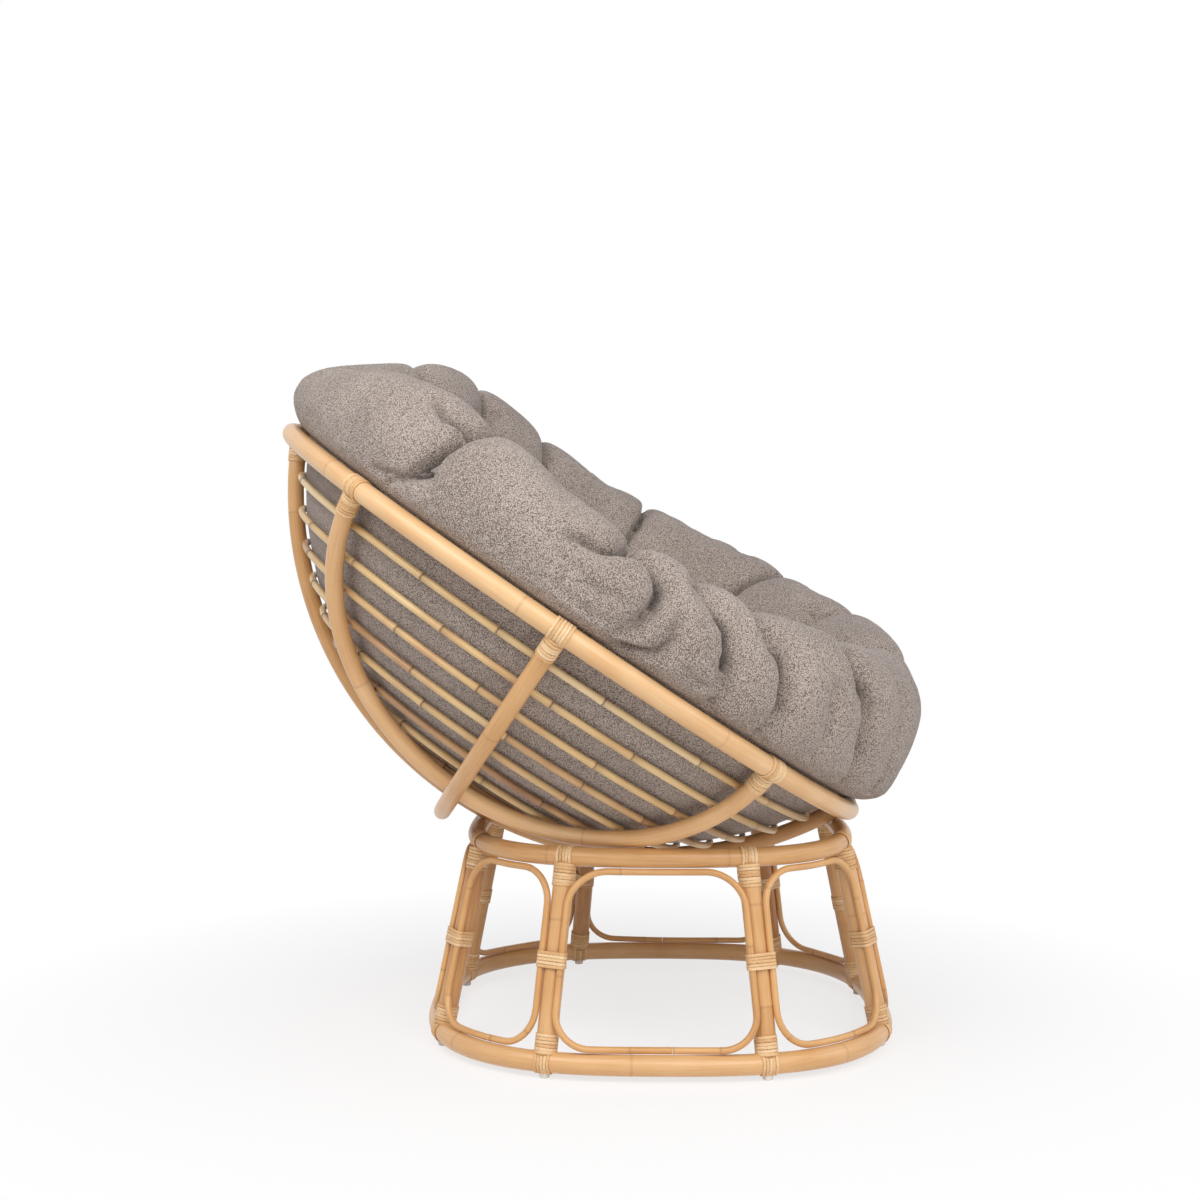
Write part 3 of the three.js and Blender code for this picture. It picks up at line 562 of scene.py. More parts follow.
def side_arc(direction):
    """A side pole: a flat arc whose plane leans away from the bowl's axis."""
    end_out, end_up = RIM_RADIUS * math.sin(SIDE_POLE_TURN), -RIM_DROP
    plane = end_out * math.cos(SIDE_POLE_LEAN) - end_up * math.sin(SIDE_POLE_LEAN)
    arc = math.sqrt(BOWL_RADIUS ** 2 - plane ** 2)
    rise = end_out * math.sin(SIDE_POLE_LEAN) + end_up * math.cos(SIDE_POLE_LEAN)
    half = math.atan2(RIM_RADIUS * math.cos(SIDE_POLE_TURN), -rise)
    turn = np.linspace(-half, half, 300)
    out = plane * math.cos(SIDE_POLE_LEAN) - arc * np.cos(turn) * math.sin(SIDE_POLE_LEAN)
    up = -plane * math.sin(SIDE_POLE_LEAN) - arc * np.cos(turn) * math.cos(SIDE_POLE_LEAN)
    return np.stack([direction * out, arc * np.sin(turn), up], 1)


POINTS_IN_RIM = 4  # points at each end of a path that lie inside the rim
bowl_paths = {"long_pole": meridian(0, 1), "cross_pole": meridian(BOWL_POLE + LAYER_GAP, 0),
              "side_pole_left": side_arc(-1), "side_pole_right": side_arc(1)}
for seed, (node, flat) in enumerate(bowl_paths.items(), 80):
    path = in_bowl(flat)[POINTS_IN_RIM:-POINTS_IN_RIM]
    make_pole(f"{node}_rattan", path, from_ball(path), BOWL_POLE, "bowl", [node], pole_rattan, 0.36, seed,
              sides=24, step=8 * MM)
print("bowl poles:", list(bowl_paths))

# %% [markdown]
# ## Peel bindings
# Every joint is bound with peel, the flat outer skin that is split off a cane. Strands go over the hoop
# or the rim side by side, and more turns go round the pole below them. Each turn is the same closed
# strand again, so a Geometry Nodes tree sets one turn on each of a cloud of points: the points carry the
# way it faces, and the tree gives each a slight tilt of its own, as hand work has.


# %% Peel material
def peel_material():
    """Rattan peel: matt, pale and finely fibrous, split by machine and not varnished."""
    material, tree, shader = new_material("split_rattan_peel")
    place = add_node(tree, "ShaderNodeTexCoord").outputs["Object"]
    fine = add_node(tree, "ShaderNodeTexNoise", {"Vector": place},
                    {"Scale": 420.0, "Detail": 2.0, "Roughness": 0.6}).outputs[0]
    strand = add_node(tree, "ShaderNodeAttribute", attribute_name="strand_tone").outputs["Fac"]
    mixed = add_node(tree, "ShaderNodeMath", {0: strand, 2: fine}, {1: 0.5},
                     operation="MULTIPLY_ADD").outputs[0]
    ramp = colour_stops(add_node(tree, "ShaderNodeValToRGB", {"Fac": mixed}), [
        (0.3, "#c08d58"), (0.55, "#dbae78"), (0.8, "#e7bf8c"), (1.0, "#f0d0a4")])
    tree.links.new(ramp.outputs[0], shader.inputs["Base Color"])
    bump = add_node(tree, "ShaderNodeBump", {"Height": fine}, {"Strength": 0.25, "Distance": 0.2 * MM})
    tree.links.new(bump.outputs[0], shader.inputs["Normal"])
    shader.inputs["Roughness"].default_value = 0.55
    return material


peel = peel_material()


# %% The tree that winds the turns
def winding_tree():
    """Sets one closed strand on each point, faced by the point's own value."""
    tree = bpy.data.node_groups.new("peel_turns", "GeometryNodeTree")
    face = tree.interface
    for name, kind in (("Turns", "NodeSocketGeometry"), ("Outline", "NodeSocketObject"),
                       ("Strand width", "NodeSocketFloat"), ("Strand thickness", "NodeSocketFloat"),
                       ("Tilt by hand", "NodeSocketFloat"), ("Seed", "NodeSocketInt"),
                       ("Peel", "NodeSocketMaterial")):
        face.new_socket(name, in_out="INPUT", socket_type=kind)
    face.new_socket("Binding", in_out="OUTPUT", socket_type="NodeSocketGeometry")
    given = add_node(tree, "NodeGroupInput").outputs
    outline = add_node(tree, "GeometryNodeObjectInfo", {"Object": given["Outline"]}).outputs["Geometry"]
    flat = add_node(tree, "GeometryNodeCurvePrimitiveQuadrilateral",
                    {"Width": given["Strand thickness"], "Height": given["Strand width"]})
    corner = add_node(tree, "ShaderNodeMath", {0: given["Strand thickness"]}, {1: 0.42}, operation="MULTIPLY")
    section = add_node(tree, "GeometryNodeFilletCurve",
                       {"Curve": flat.outputs[0], "Radius": corner.outputs[0]}, {"Count": 2}, mode="POLY")
    strand = add_node(tree, "GeometryNodeCurveToMesh",
                      {"Curve": outline, "Profile Curve": section.outputs[0]}).outputs[0]
    facing = add_node(tree, "GeometryNodeInputNamedAttribute", values={"Name": "facing"},
                      data_type="FLOAT_VECTOR")
    turned = add_node(tree, "FunctionNodeEulerToRotation", {0: facing.outputs[0]}).outputs[0]
    placed = add_node(tree, "GeometryNodeInstanceOnPoints", {
        "Points": given["Turns"], "Instance": strand, "Rotation": turned}).outputs[0]
    most = given["Tilt by hand"]
    less = add_node(tree, "ShaderNodeMath", {0: most}, {1: -1.0}, operation="MULTIPLY").outputs[0]
    low = add_node(tree, "ShaderNodeCombineXYZ", {"X": less, "Y": less}).outputs[0]
    high = add_node(tree, "ShaderNodeCombineXYZ", {"X": most, "Y": most}).outputs[0]
    by_hand = add_node(tree, "FunctionNodeRandomValue", {"Min": low, "Max": high, "Seed": given["Seed"]},
                       data_type="FLOAT_VECTOR").outputs[0]
    tilted = add_node(tree, "GeometryNodeRotateInstances",
                      {"Instances": placed, "Rotation": by_hand}).outputs[0]
    tone = add_node(tree, "FunctionNodeRandomValue", {"Seed": given["Seed"]}, data_type="FLOAT").outputs[1]
    toned = add_node(tree, "GeometryNodeStoreNamedAttribute", {"Geometry": tilted, "Value": tone},
                     {"Name": "strand_tone"}, domain="INSTANCE", data_type="FLOAT").outputs[0]
    real = add_node(tree, "GeometryNodeRealizeInstances", {"Geometry": toned}).outputs[0]
    smooth = add_node(tree, "GeometryNodeSetShadeSmooth", {"Geometry": real}).outputs[0]
    final = add_node(tree, "GeometryNodeSetMaterial", {"Geometry": smooth, "Material": given["Peel"]})
    add_node(tree, "NodeGroupOutput", {0: final.outputs[0]})
    return tree


turns_tree = winding_tree()
print("winding tree:", len(turns_tree.nodes), "nodes")


# %% One set of turns
STRAND_THICKNESS = 1.4 * MM
STRAND_WIDTH = 4.3 * MM


def outline_object(points):
    """A closed flat outline for one turn, as a curve."""
    curve = bpy.data.curves.new("turn_outline", "CURVE")
    curve.dimensions = "3D"
    spline = curve.splines.new("POLY")
    spline.points.add(len(points) - 1)
    spline.points.foreach_set("co", np.hstack([points, np.tile([0.0, 1.0], (len(points), 1))]).ravel())
    spline.use_cyclic_u = True
    return place_object("turn_outline", curve)


def round_outline(radius, count=28):
    turn = np.linspace(0, 2 * np.pi, count, endpoint=False)
    return radius * np.stack([np.cos(turn), np.sin(turn)], 1)


def wind(name, outline, places, body, replaced, seed, tilt=0.02):
    """Winds turns at places, each a centre, an axis and the way its outline's X faces."""
    cloud = bpy.data.meshes.new(name)
    cloud.from_pydata([tuple(centre) for centre, _, _ in places], [], [])
    facing = []
    for _, axis, out in places:
        z = Vector(axis).normalized()
        x = Vector(out)
        x = (x - z * x.dot(z)).normalized()
        y = z.cross(x)
        facing.append(tuple(Matrix((x, y, z)).transposed().to_euler()))
    cloud.attributes.new("facing", "FLOAT_VECTOR", "POINT").data.foreach_set("vector", np.ravel(facing))
    holder = place_object(name, cloud)
    shape = outline_object(outline)
    modifier = holder.modifiers.new("turns", "NODES")
    modifier.node_group = turns_tree
    sockets = {item.name: item.identifier for item in turns_tree.interface.items_tree
               if item.in_out == "INPUT"}
    for key, value in (("Outline", shape), ("Strand width", STRAND_WIDTH),
                       ("Strand thickness", STRAND_THICKNESS), ("Tilt by hand", tilt), ("Seed", seed),
                       ("Peel", peel)):
        modifier[sockets[key]] = value
    bpy.context.view_layer.update()
    ready = holder.evaluated_get(bpy.context.evaluated_depsgraph_get())
    mesh = bpy.data.meshes.new_from_object(ready)
    bpy.data.objects.remove(holder)
    bpy.data.objects.remove(shape)
    mesh.name = name
    piece = place_object(name, mesh)
    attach(piece, body)
    if replaced:
        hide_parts(*replaced)
    return piece


# %% Bindings of the stand
TURN_LIFT = JOINT_GAP + STRAND_THICKNESS / 2
TURN_STEP = 4.7 * MM
SADDLE_TURNS = 5
TOP_POST_TURNS = 7
TOP_TURNS_START = 12.4 * MM
BOTTOM_POST_TURNS = 6
BOTTOM_TURNS_START = 13.4 * MM
MIDDLE_TURNS = 5


def hoop_tangent(turn, radius):
    ahead = on_stand(turn + 0.002, radius * square_share(turn + 0.002), 0)
    behind = on_stand(turn - 0.002, radius * square_share(turn - 0.002), 0)
    return (ahead - behind) / np.linalg.norm(ahead - behind)


def rows(count, step):
    return (np.arange(count) - (count - 1) / 2) * step


top_saddles, bottom_saddles, post_turns, middle_turns = [], [], [], []
for degrees in POST_TURNS:
    turn = math.radians(degrees)
    outward = np.array([math.cos(turn), math.sin(turn), 0])
    down = post_point(turn, 1.0) - post_point(turn, 0.0)
    length = np.linalg.norm(down)
    down /= length
    for radius, height, saddles in ((TOP_HOOP_RADIUS, TOP_HOOP_HEIGHT, top_saddles),
                                    (BOTTOM_HOOP_RADIUS, BOTTOM_HOOP_HEIGHT, bottom_saddles)):
        along = hoop_tangent(turn, radius)
        centre = on_stand(turn, radius * square_share(turn), height)
        saddles.extend((centre + along * y, along, UP) for y in rows(SADDLE_TURNS, TURN_STEP))
    top_end, bottom_end = post_point(turn, 0.0), post_point(turn, 1.0)
    post_turns.extend((top_end + down * (TOP_TURNS_START + k * TURN_STEP), down, outward)
                      for k in range(TOP_POST_TURNS))
    post_turns.extend((bottom_end - down * (BOTTOM_TURNS_START + k * TURN_STEP), down, outward)
                      for k in range(BOTTOM_POST_TURNS))
    middle = post_point(turn, MIDDLE_WRAP_SHARE)
    middle_turns.extend((middle + down * y, -down, outward) for y in rows(MIDDLE_TURNS, TURN_STEP))


def tight_outline(circles, lift, count=48):
    """An outline drawn tight round several round canes, given as (x, y, radius)."""
    turn = np.linspace(0, 2 * np.pi, 720, endpoint=False)
    way = np.stack([np.cos(turn), np.sin(turn)], 1)
    circles = np.array(circles)
    reach = way @ circles[:, :2].T + circles[:, 2]
    best = reach.argmax(1)
    hull = circles[best, :2] + way * (circles[best, 2] + lift)[:, None]
    along = measure(hull, closed=True)
    closed = np.vstack([hull, hull[:1]])
    at = np.linspace(0, along[-1], count, endpoint=False)
    return np.stack([np.interp(at, along, closed[:, k]) for k in range(2)], 1)


numbers = range(1, len(POST_TURNS) + 1)
wind("top_saddle_bindings", round_outline(TOP_HOOP_POLE / 2 + TURN_LIFT), top_saddles, "stand",
     [f"post_top_binding_{i}" for i in numbers], 3)
wind("bottom_saddle_bindings", round_outline(BOTTOM_HOOP_POLE / 2 + TURN_LIFT), bottom_saddles, "stand",
     [f"post_bottom_binding_{i}" for i in numbers], 4)
wind("post_bindings", round_outline(POST_POLE / 2 + TURN_LIFT), post_turns, "stand", [], 5)
middle_shape = tight_outline([(0, 0, POST_POLE / 2), (LOOP_OUTSET, CANE_SIDEWAYS, LOOP_CANE / 2),
                              (LOOP_OUTSET, -CANE_SIDEWAYS, LOOP_CANE / 2)], TURN_LIFT)
wind("middle_bindings", middle_shape, middle_turns, "stand", [], 6, tilt=0.012)
print("turns on the stand:", len(top_saddles) + len(bottom_saddles) + len(post_turns) + len(middle_turns))

# %% Bindings of the rim
RIM_SADDLE_TURNS = 6
POLE_TURNS = 7
FRONT_POLE_TURNS = 2
POLE_TURNS_START = 12.9 * MM
rim_saddles, pole_turns, rim_nodes = [], [], []
ends = {"long_pole": ("front", "back"), "cross_pole": ("left", "right"),
        "side_pole_left": ("left_front", "left_back"), "side_pole_right": ("right_front", "right_back")}
for node, flat in bowl_paths.items():
    path = in_bowl(flat)
    for name, points in zip(ends[node], (path, path[::-1])):
        rim_nodes.append(f"rim_binding_{name}")
        tip, along = points[0], measure(points)
        radial = (tip - ball_centre) + bowl_axis * RIM_DROP
        radial /= np.linalg.norm(radial)
        tangent = np.cross(bowl_axis, radial)
        for y in rows(RIM_SADDLE_TURNS, TURN_STEP):
            centre = tip + tangent * y - radial * (y ** 2 / (2 * RIM_RADIUS))
            rim_saddles.append((centre, tangent, radial))
        for k in range(FRONT_POLE_TURNS if name == "front" else POLE_TURNS):
            at = POLE_TURNS_START + k * TURN_STEP
            spot = np.array([np.interp(at, along, points[:, c]) for c in range(3)])
            ahead = np.array([np.interp(at + 4 * MM, along, points[:, c]) for c in range(3)]) - spot
            pole_turns.append((spot, ahead, from_ball(spot)))
wind("rim_saddle_bindings", round_outline(RIM_POLE / 2 + TURN_LIFT), rim_saddles, "bowl", rim_nodes, 7)
wind("pole_end_bindings", round_outline(BOWL_POLE / 2 + TURN_LIFT), pole_turns, "bowl", [], 8, tilt=0.03)
print("turns on the rim:", len(rim_saddles) + len(pole_turns))

# %% [markdown]
# ## Glides
# Below each post a small white plastic glide is nailed under the bottom hoop. It is a short turned disc
# with a rounded lower edge, so a ring of points is carried round its axis.


# %% Glides
def nylon_material():
    """White moulded nylon: plain and satin."""
    material, tree, shader = new_material("moulded_white_nylon")
    place = add_node(tree, "ShaderNodeTexCoord").outputs["Object"]
    scuff = add_node(tree, "ShaderNodeTexNoise", {"Vector": place}, {"Scale": 300.0, "Detail": 2.0})
    ramp = colour_stops(add_node(tree, "ShaderNodeValToRGB", {"Fac": scuff.outputs[0]}), [
        (0.3, "#e4dfd8"), (0.7, "#f4f1ec")])
    tree.links.new(ramp.outputs[0], shader.inputs["Base Color"])
    shader.inputs["Roughness"].default_value = 0.4
    return material


def make_glides(sides=24):
    edge = GLIDE_WIDTH / 2
    profile = [(edge - 1.9 * MM, 0), (edge - 0.6 * MM, 0.5 * MM), (edge, 1.7 * MM), (edge, 6.6 * MM),
               (edge - 0.5 * MM, GLIDE_TOP)]
    vertices, faces = [], []
    for degrees in POST_TURNS:
        x, y, _ = post_point(math.radians(degrees), 1.0)
        start = len(vertices)
        vertices.append((x, y, 0))
        for reach, height in profile:
            vertices.extend((x + reach * math.cos(a), y + reach * math.sin(a), height)
                            for a in np.linspace(0, 2 * np.pi, sides, endpoint=False))
        vertices.append((x, y, GLIDE_TOP))
        last = len(vertices) - 1
        for k in range(sides):
            k2 = (k + 1) % sides
            faces.append((start, start + 1 + k2, start + 1 + k))
            for a in range(start + 1, last - sides, sides):
                faces.append((a + k, a + k2, a + sides + k2, a + sides + k))
            faces.append((last - sides + k, last - sides + k2, last))
    mesh = bpy.data.meshes.new("glides")
    mesh.from_pydata(vertices, [], faces)
    mesh.polygons.foreach_set("use_smooth", [True] * len(faces))
    mesh.materials.append(nylon_material())
    glides = place_object("glides", mesh)
    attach(glides, "stand")
    return glides


print("glides:", len(make_glides().data.polygons), "faces")

# %% [markdown]
# ## The cushion
# The cushion is a round pad stuffed with loose fibre and sewn through with tufts. Pushed into the bowl,
# its edge rolls up over the rim, and the cloth gathers in creases that run from the tufts out over the
# roll. It starts from the same section as its solid, a little smaller. A table gives the height of the
# roll round the rim, and another the places and depths of the creases. Then Blender's cloth simulation
# blows it up: the creases and tufts are held, the cloth between them swells, and spare cloth gathers
# beside them, which no formula gives so well. At last a sharp fold is drawn in along each crease.

# %% Sizes of the cushion
CUSHION_PLAY = 1.8 * MM
CUSHION_BALL = RING_RADIUS - RING_CANE / 2 - CUSHION_PLAY
CUSHION_OVERHANG = 44 * MM
BACK_OVERHANG_SHARE = 0.6
FRONT_OVERHANG_SHARE = 0.78
CUSHION_OVERHANG_HEIGHT = 92 * MM
ROLL_CREST_INSET = 62 * MM
SEAT_DEPTH = 138 * MM
SEAT_WALL_RADIUS = 330 * MM
START_INSET = 8 * MM
RIM_CLEAR = RIM_POLE / 2 + LAYER_GAP + JOINT_GAP
# The roll's height above the rim in mm, every 10 degrees from the back round by the camera's side: the
# stuffing has settled, most of all at the middle of this side
CREST_HEIGHTS = [158, 151, 150, 163, 180, 188, 178, 174, 160, 156, 168, 168, 180, 200, 216, 222, 226, 230,
                 240, 264, 280, 285, 282, 278, 280, 276, 262, 248, 241, 240, 240, 246, 248, 242, 216, 180]
# Creases, as points along each: the turn round the rim in degrees, the row of the section (9 on the rim,
# 11 at the widest, 14 at the crest, 17 at the foot of the seat's wall), and the share of the full depth
CREASES = [
    # This side, from the back to the front
    [(55, 9.2, 0.2), (59, 10.4, 0.8), (61, 11.6, 1), (62, 12.6, 1), (62, 14, 0.9), (64, 18, 0.8)],
    [(51, 12.6, 0.2), (56, 12.3, 0.7), (62, 12.7, 0.8)], [(52, 9.7, 0.2), (57, 10.0, 0.6), (61, 10.6, 0.8)],
    [(84, 11.5, 0.3), (88, 11.9, 0.8), (91, 12.6, 1), (92, 14, 1), (92, 17, 0.8)],
    [(92, 13, 0.9), (96.5, 12.4, 1), (98.5, 11.6, 1.1), (98.5, 10.8, 1), (97, 10.1, 0.4), (96, 9.6, 0.1)],
    [(101.5, 11.4, 0.1), (103, 10.6, 0.3), (102, 9.8, 0.45), (98, 9.1, 0.5)],
    [(84, 10.9, 0.05), (90, 10.6, 0.2), (96, 10.8, 0.1)],
    [(86, 10.1, 0.05), (92, 9.9, 0.15), (97, 10.2, 0.05)],
    [(103, 15, 0.5), (104, 13, 0.9), (107, 12.3, 1), (110.5, 11.6, 1), (112.5, 10.5, 0.9), (114, 9.8, 0.6),
     (113.5, 9.1, 0.4)],
    [(107, 10.2, 0.05), (110, 10.0, 0.2), (113, 10.4, 0.1)],
    [(116, 18, 0.8), (115.5, 13.4, 0.9), (118, 12.4, 1), (121, 11.7, 0.9), (123, 10.6, 0.8), (123, 9.3, 0.3)],
    [(127, 12.3, 0.05), (131, 11.4, 0.2), (133, 10.2, 0.05)],
    [(141, 17, 0.8), (134, 13.2, 0.9), (137, 12.2, 1), (141, 11.6, 1), (144, 10.8, 0.9), (147, 9.3, 0.4)],
    [(148, 13, 0.1), (154, 11.8, 0.5), (157, 10.0, 0.2)],
    [(167, 18, 0.8), (165, 13.5, 0.9), (167, 12.2, 0.9), (171, 9.5, 0.4)],
    # The far side, from the front to the back: deep at the tufts, shallow over the roll
    [(190, 17, 0.9), (190, 14.6, 0.9), (189, 13, 0.5), (190, 10, 0.4)],
    [(218, 18, 1), (213, 14.8, 1), (211, 13.4, 0.45), (208, 10, 0.5)],
    [(240, 17, 1), (236, 15, 1.1), (234, 13.6, 0.45), (233, 12, 0.4), (231, 10, 0.5)],
    [(270, 18, 1), (270, 15, 1.2), (271, 13.8, 0.55), (272, 12, 0.4), (272, 10, 0.5)],
    [(298, 17, 1), (299, 15, 1.2), (300, 13.8, 0.6), (301, 12, 0.5), (301, 10, 0.5)],
    [(321, 18, 0.9), (321, 14.6, 0.8), (321, 13, 0.5), (321, 10, 0.6)],
    [(343, 17, 0.9), (341, 14.5, 1), (339, 12.5, 0.8), (338, 10, 0.5)],
    [(13, 18, 0.8), (14, 15.6, 0.9), (14, 14.2, 0.2)], [(38, 17, 0.8), (37, 15.6, 0.9), (36, 14.2, 0.2)],
]
RIM_ROW = 9
FIRST_CREASED_ROW = 8.5
CREST_ROW = 14
CREASE_DEPTH = 26 * MM
CREASE_WIDTH = 8.5 * MM
VALLEY_DEPTH = 10 * MM
VALLEY_WIDTH = 30 * MM
FOLD_DEPTH = 11 * MM
FOLD_WIDTH = 4.2 * MM
TUFT_COUNT = 7
TUFT_RADIUS = 215 * MM
TUFT_DEPTH = 38 * MM
TUFT_WIDTH = 36 * MM

# %% Cushion section
table = np.interp(np.arange(360), np.arange(0, 370, 10), CREST_HEIGHTS + CREST_HEIGHTS[:1])
window = np.hanning(15) / np.hanning(15).sum()
crest_by_degree = np.convolve(np.tile(table, 3), window, "same")[359:721] * MM  # from -1 to 360 degrees


def cushion_rows(degrees):
    """The section's rows at one turn round the rim: distance from the axis and height above the rim."""
    front = (1 - math.cos(math.radians(degrees))) / 2
    crest = np.interp(degrees % 360, np.arange(-1, 361), crest_by_degree)
    overhang_share = BACK_OVERHANG_SHARE + (FRONT_OVERHANG_SHARE - BACK_OVERHANG_SHARE) * front
    bulge = RIM_RADIUS + CUSHION_OVERHANG * overhang_share
    crest_radius = RIM_RADIUS - ROLL_CREST_INSET
    wall = math.acos((RIM_DROP + RIM_CLEAR) / CUSHION_BALL)
    rows = [(CUSHION_BALL * math.sin(wall * k), RIM_DROP - CUSHION_BALL * math.cos(wall * k))
            for k in (0, 0.17, 0.34, 0.5, 0.66, 0.82, 0.93)]
    rows += [(RIM_RADIUS + out * RIM_CLEAR, up * RIM_CLEAR)
             for out, up in ((-1.5, 0), (-0.9, 0.9), (0.2, 1.35))]
    rows += [(RIM_RADIUS + (bulge - RIM_RADIUS) * out, CUSHION_OVERHANG_HEIGHT * up)
             for out, up in ((0.8, 0.45), (1, 1))]
    rows += [(crest_radius + (bulge - crest_radius) * out,
              CUSHION_OVERHANG_HEIGHT + (crest - CUSHION_OVERHANG_HEIGHT) * up)
             for out, up in ((0.8, 0.62), (0.42, 0.93), (0, 1))]
    rows += [(SEAT_WALL_RADIUS + (crest_radius - SEAT_WALL_RADIUS) * out, crest * up)
             for out, up in ((0.6, 0.86), (0.25, 0.5), (0, 0))]
    rows += [(SEAT_WALL_RADIUS * out, -SEAT_DEPTH * down)
             for out, down in ((0.8, 0.52), (0.65, 0.8), (0.45, 0.93), (0.22, 1), (0, 1))]
    return np.array(rows)


def smooth_rows(rows, at):
    """A Catmull-Rom curve through the rows, read at fractional row numbers."""
    padded = np.vstack([2 * rows[0] - rows[1], rows, 2 * rows[-1] - rows[-2]])
    k = np.clip(np.floor(at).astype(int), 0, len(rows) - 2)
    t = (at - k)[:, None]
    a, b, c, d = (padded[k + n] for n in range(4))
    return 0.5 * (2 * b + (c - a) * t + (2 * a - 5 * b + 4 * c - d) * t ** 2
                  + (3 * b - a - 3 * c + d) * t ** 3)


def on_cushion(degrees, at):
    """Points of the smooth cushion at one turn, in the bowl's frame, and the way in from each."""
    section = smooth_rows(cushion_rows(degrees), at)
    ahead = smooth_rows(cushion_rows(degrees), at + 0.03) - smooth_rows(cushion_rows(degrees), at - 0.03)
    ahead /= np.linalg.norm(ahead, axis=1)[:, None] + 1e-9
    turn = math.radians(degrees) + math.pi / 2
    way = np.array([math.cos(turn), math.sin(turn)])
    points = np.hstack([section[:, :1] * way, section[:, 1:] - RIM_DROP])
    return points, np.hstack([-ahead[:, 1:] * way, ahead[:, :1]])


# %% Where the creases run
NEAR_CREASES = 6  # points of creases that are asked how deep they are, for each point of the cloth


def tree_of(points):
    """A tree that finds the points nearest to a place."""
    found = KDTree(len(points))
    for index, point in enumerate(points):
        found.insert(point, index)
    found.balance()
    return found


crease_points, crease_ways, crease_shares = [], [], []
for corners in CREASES:
    corner_number = np.linspace(0, len(corners) - 1, 24 * (len(corners) - 1))
    along = [np.interp(corner_number, range(len(corners)), column) for column in zip(*corners)]
    for turn, row, amount in zip(*along):
        point, way = on_cushion(turn, np.array([row]))
        crease_points.append(point[0])
        crease_ways.append(way[0])
        crease_shares.append(amount)
crease_shares = np.array(crease_shares)
crease_tree = tree_of(crease_points)


def crease_dip(point):
    """How far in a crease pulls the cloth at a point: a narrow cut in a broad, shallow valley."""
    dip = 0.0
    for _, index, off in crease_tree.find_n(point, NEAR_CREASES):
        dip = max(dip, crease_shares[index] * (CREASE_DEPTH * math.exp(-(off / CREASE_WIDTH) ** 2)
                                               + VALLEY_DEPTH * math.exp(-(off / VALLEY_WIDTH) ** 2)))
    return dip


crease_bottoms = [point + way * (START_INSET + crease_dip(point))
                  for point, way in zip(crease_points, crease_ways)]
bottoms_tree = tree_of(crease_bottoms)
print("creases:", len(CREASES), "as", len(crease_points), "points")


# %% Cushion at the start
def tuft_dip(x, y):
    """How far the tufts pull the seat down: one in the middle, the others on a ring round it."""
    dip = np.exp(-(x ** 2 + y ** 2) / TUFT_WIDTH ** 2)
    for k in range(TUFT_COUNT):
        turn = 2 * math.pi * k / TUFT_COUNT
        off = (x - TUFT_RADIUS * math.cos(turn)) ** 2 + (y - TUFT_RADIUS * math.sin(turn)) ** 2
        dip = np.maximum(dip, np.exp(-off / TUFT_WIDTH ** 2))
    return TUFT_DEPTH * dip


def cushion_start(steps=320, levels=181):
    """The cushion's mesh before it is blown up."""
    last = len(cushion_rows(0)) - 1
    at = np.linspace(0, last, levels)
    on_top = np.clip((at - RIM_ROW) / 2, 0, 1) * np.clip(last - at, 0, 1)
    points = []
    for i in range(steps):
        section, inward = on_cushion(360 * i / steps, at)
        dips = np.array([crease_dip(point) if row > FIRST_CREASED_ROW else 0.0
                         for point, row in zip(section, at)])
        points.append(section + inward * (START_INSET * on_top + dips)[:, None])
    points = np.array(points)
    points[..., 2] -= (at > CREST_ROW)[None, :] * tuft_dip(points[..., 0], points[..., 1])
    inner = points[:, 1:-1]
    rows_left = inner.shape[1]
    vertices = np.vstack([inner.reshape(-1, 3), points[0, :1], points[0, -1:]])
    faces = []
    for i in range(steps):
        a, b = i * rows_left, (i + 1) % steps * rows_left
        faces.append((steps * rows_left, b, a))
        faces.append((steps * rows_left + 1, a + rows_left - 1, b + rows_left - 1))
        faces.extend((a + k, b + k, b + k + 1, a + k + 1) for k in range(rows_left - 1))
    mesh = bpy.data.meshes.new("cushion_boucle")
    mesh.from_pydata(in_bowl(vertices).tolist(), [], faces)
    return mesh


cushion = place_object("cushion_boucle", cushion_start())
print("cushion starts with", len(cushion.data.polygons), "faces")


# %% Blowing the cushion up
HELD_DEPTH = 14 * MM
HELD_UNDER_RIM = 20 * MM
HELD_BY_RIM = 12 * MM
SEAT_HEIGHT = 60 * MM
TUFT_HELD_SHARE = 0.8
HELD_BY_CREASE = 6.5 * MM
CREASE_HOLD = 0.95


def to_bowl(points):
    """The reverse of in_bowl."""
    away = points - ball_centre
    return np.stack([away @ bowl_right, away @ bowl_back, away @ bowl_axis], 1)


def coordinates(mesh):
    flat = np.zeros(len(mesh.vertices) * 3)
    mesh.vertices.foreach_get("co", flat)
    return flat.reshape(-1, 3)


def keep_clear(local):
    """Keeps the cushion's points inside the ring of canes and off the rim."""
    height = local[:, 2] + RIM_DROP
    reach = np.linalg.norm(local, axis=1)
    low = height < RIM_CLEAR
    pull = np.where(low & (reach > CUSHION_BALL), CUSHION_BALL / np.maximum(reach, 1e-9), 1.0)
    local = local * pull[:, None]
    radial = np.hypot(local[:, 0], local[:, 1])
    across = np.stack([radial - RIM_RADIUS, local[:, 2] + RIM_DROP], 1)
    near = np.linalg.norm(across, axis=1)
    push = np.maximum(RIM_CLEAR - near, 0)[:, None] * across / np.maximum(near, 1e-9)[:, None]
    unit = local[:, :2] / np.maximum(radial, 1e-9)[:, None]
    local[:, :2] += unit * push[:, :1]
    local[:, 2] += push[:, 1]
    return local


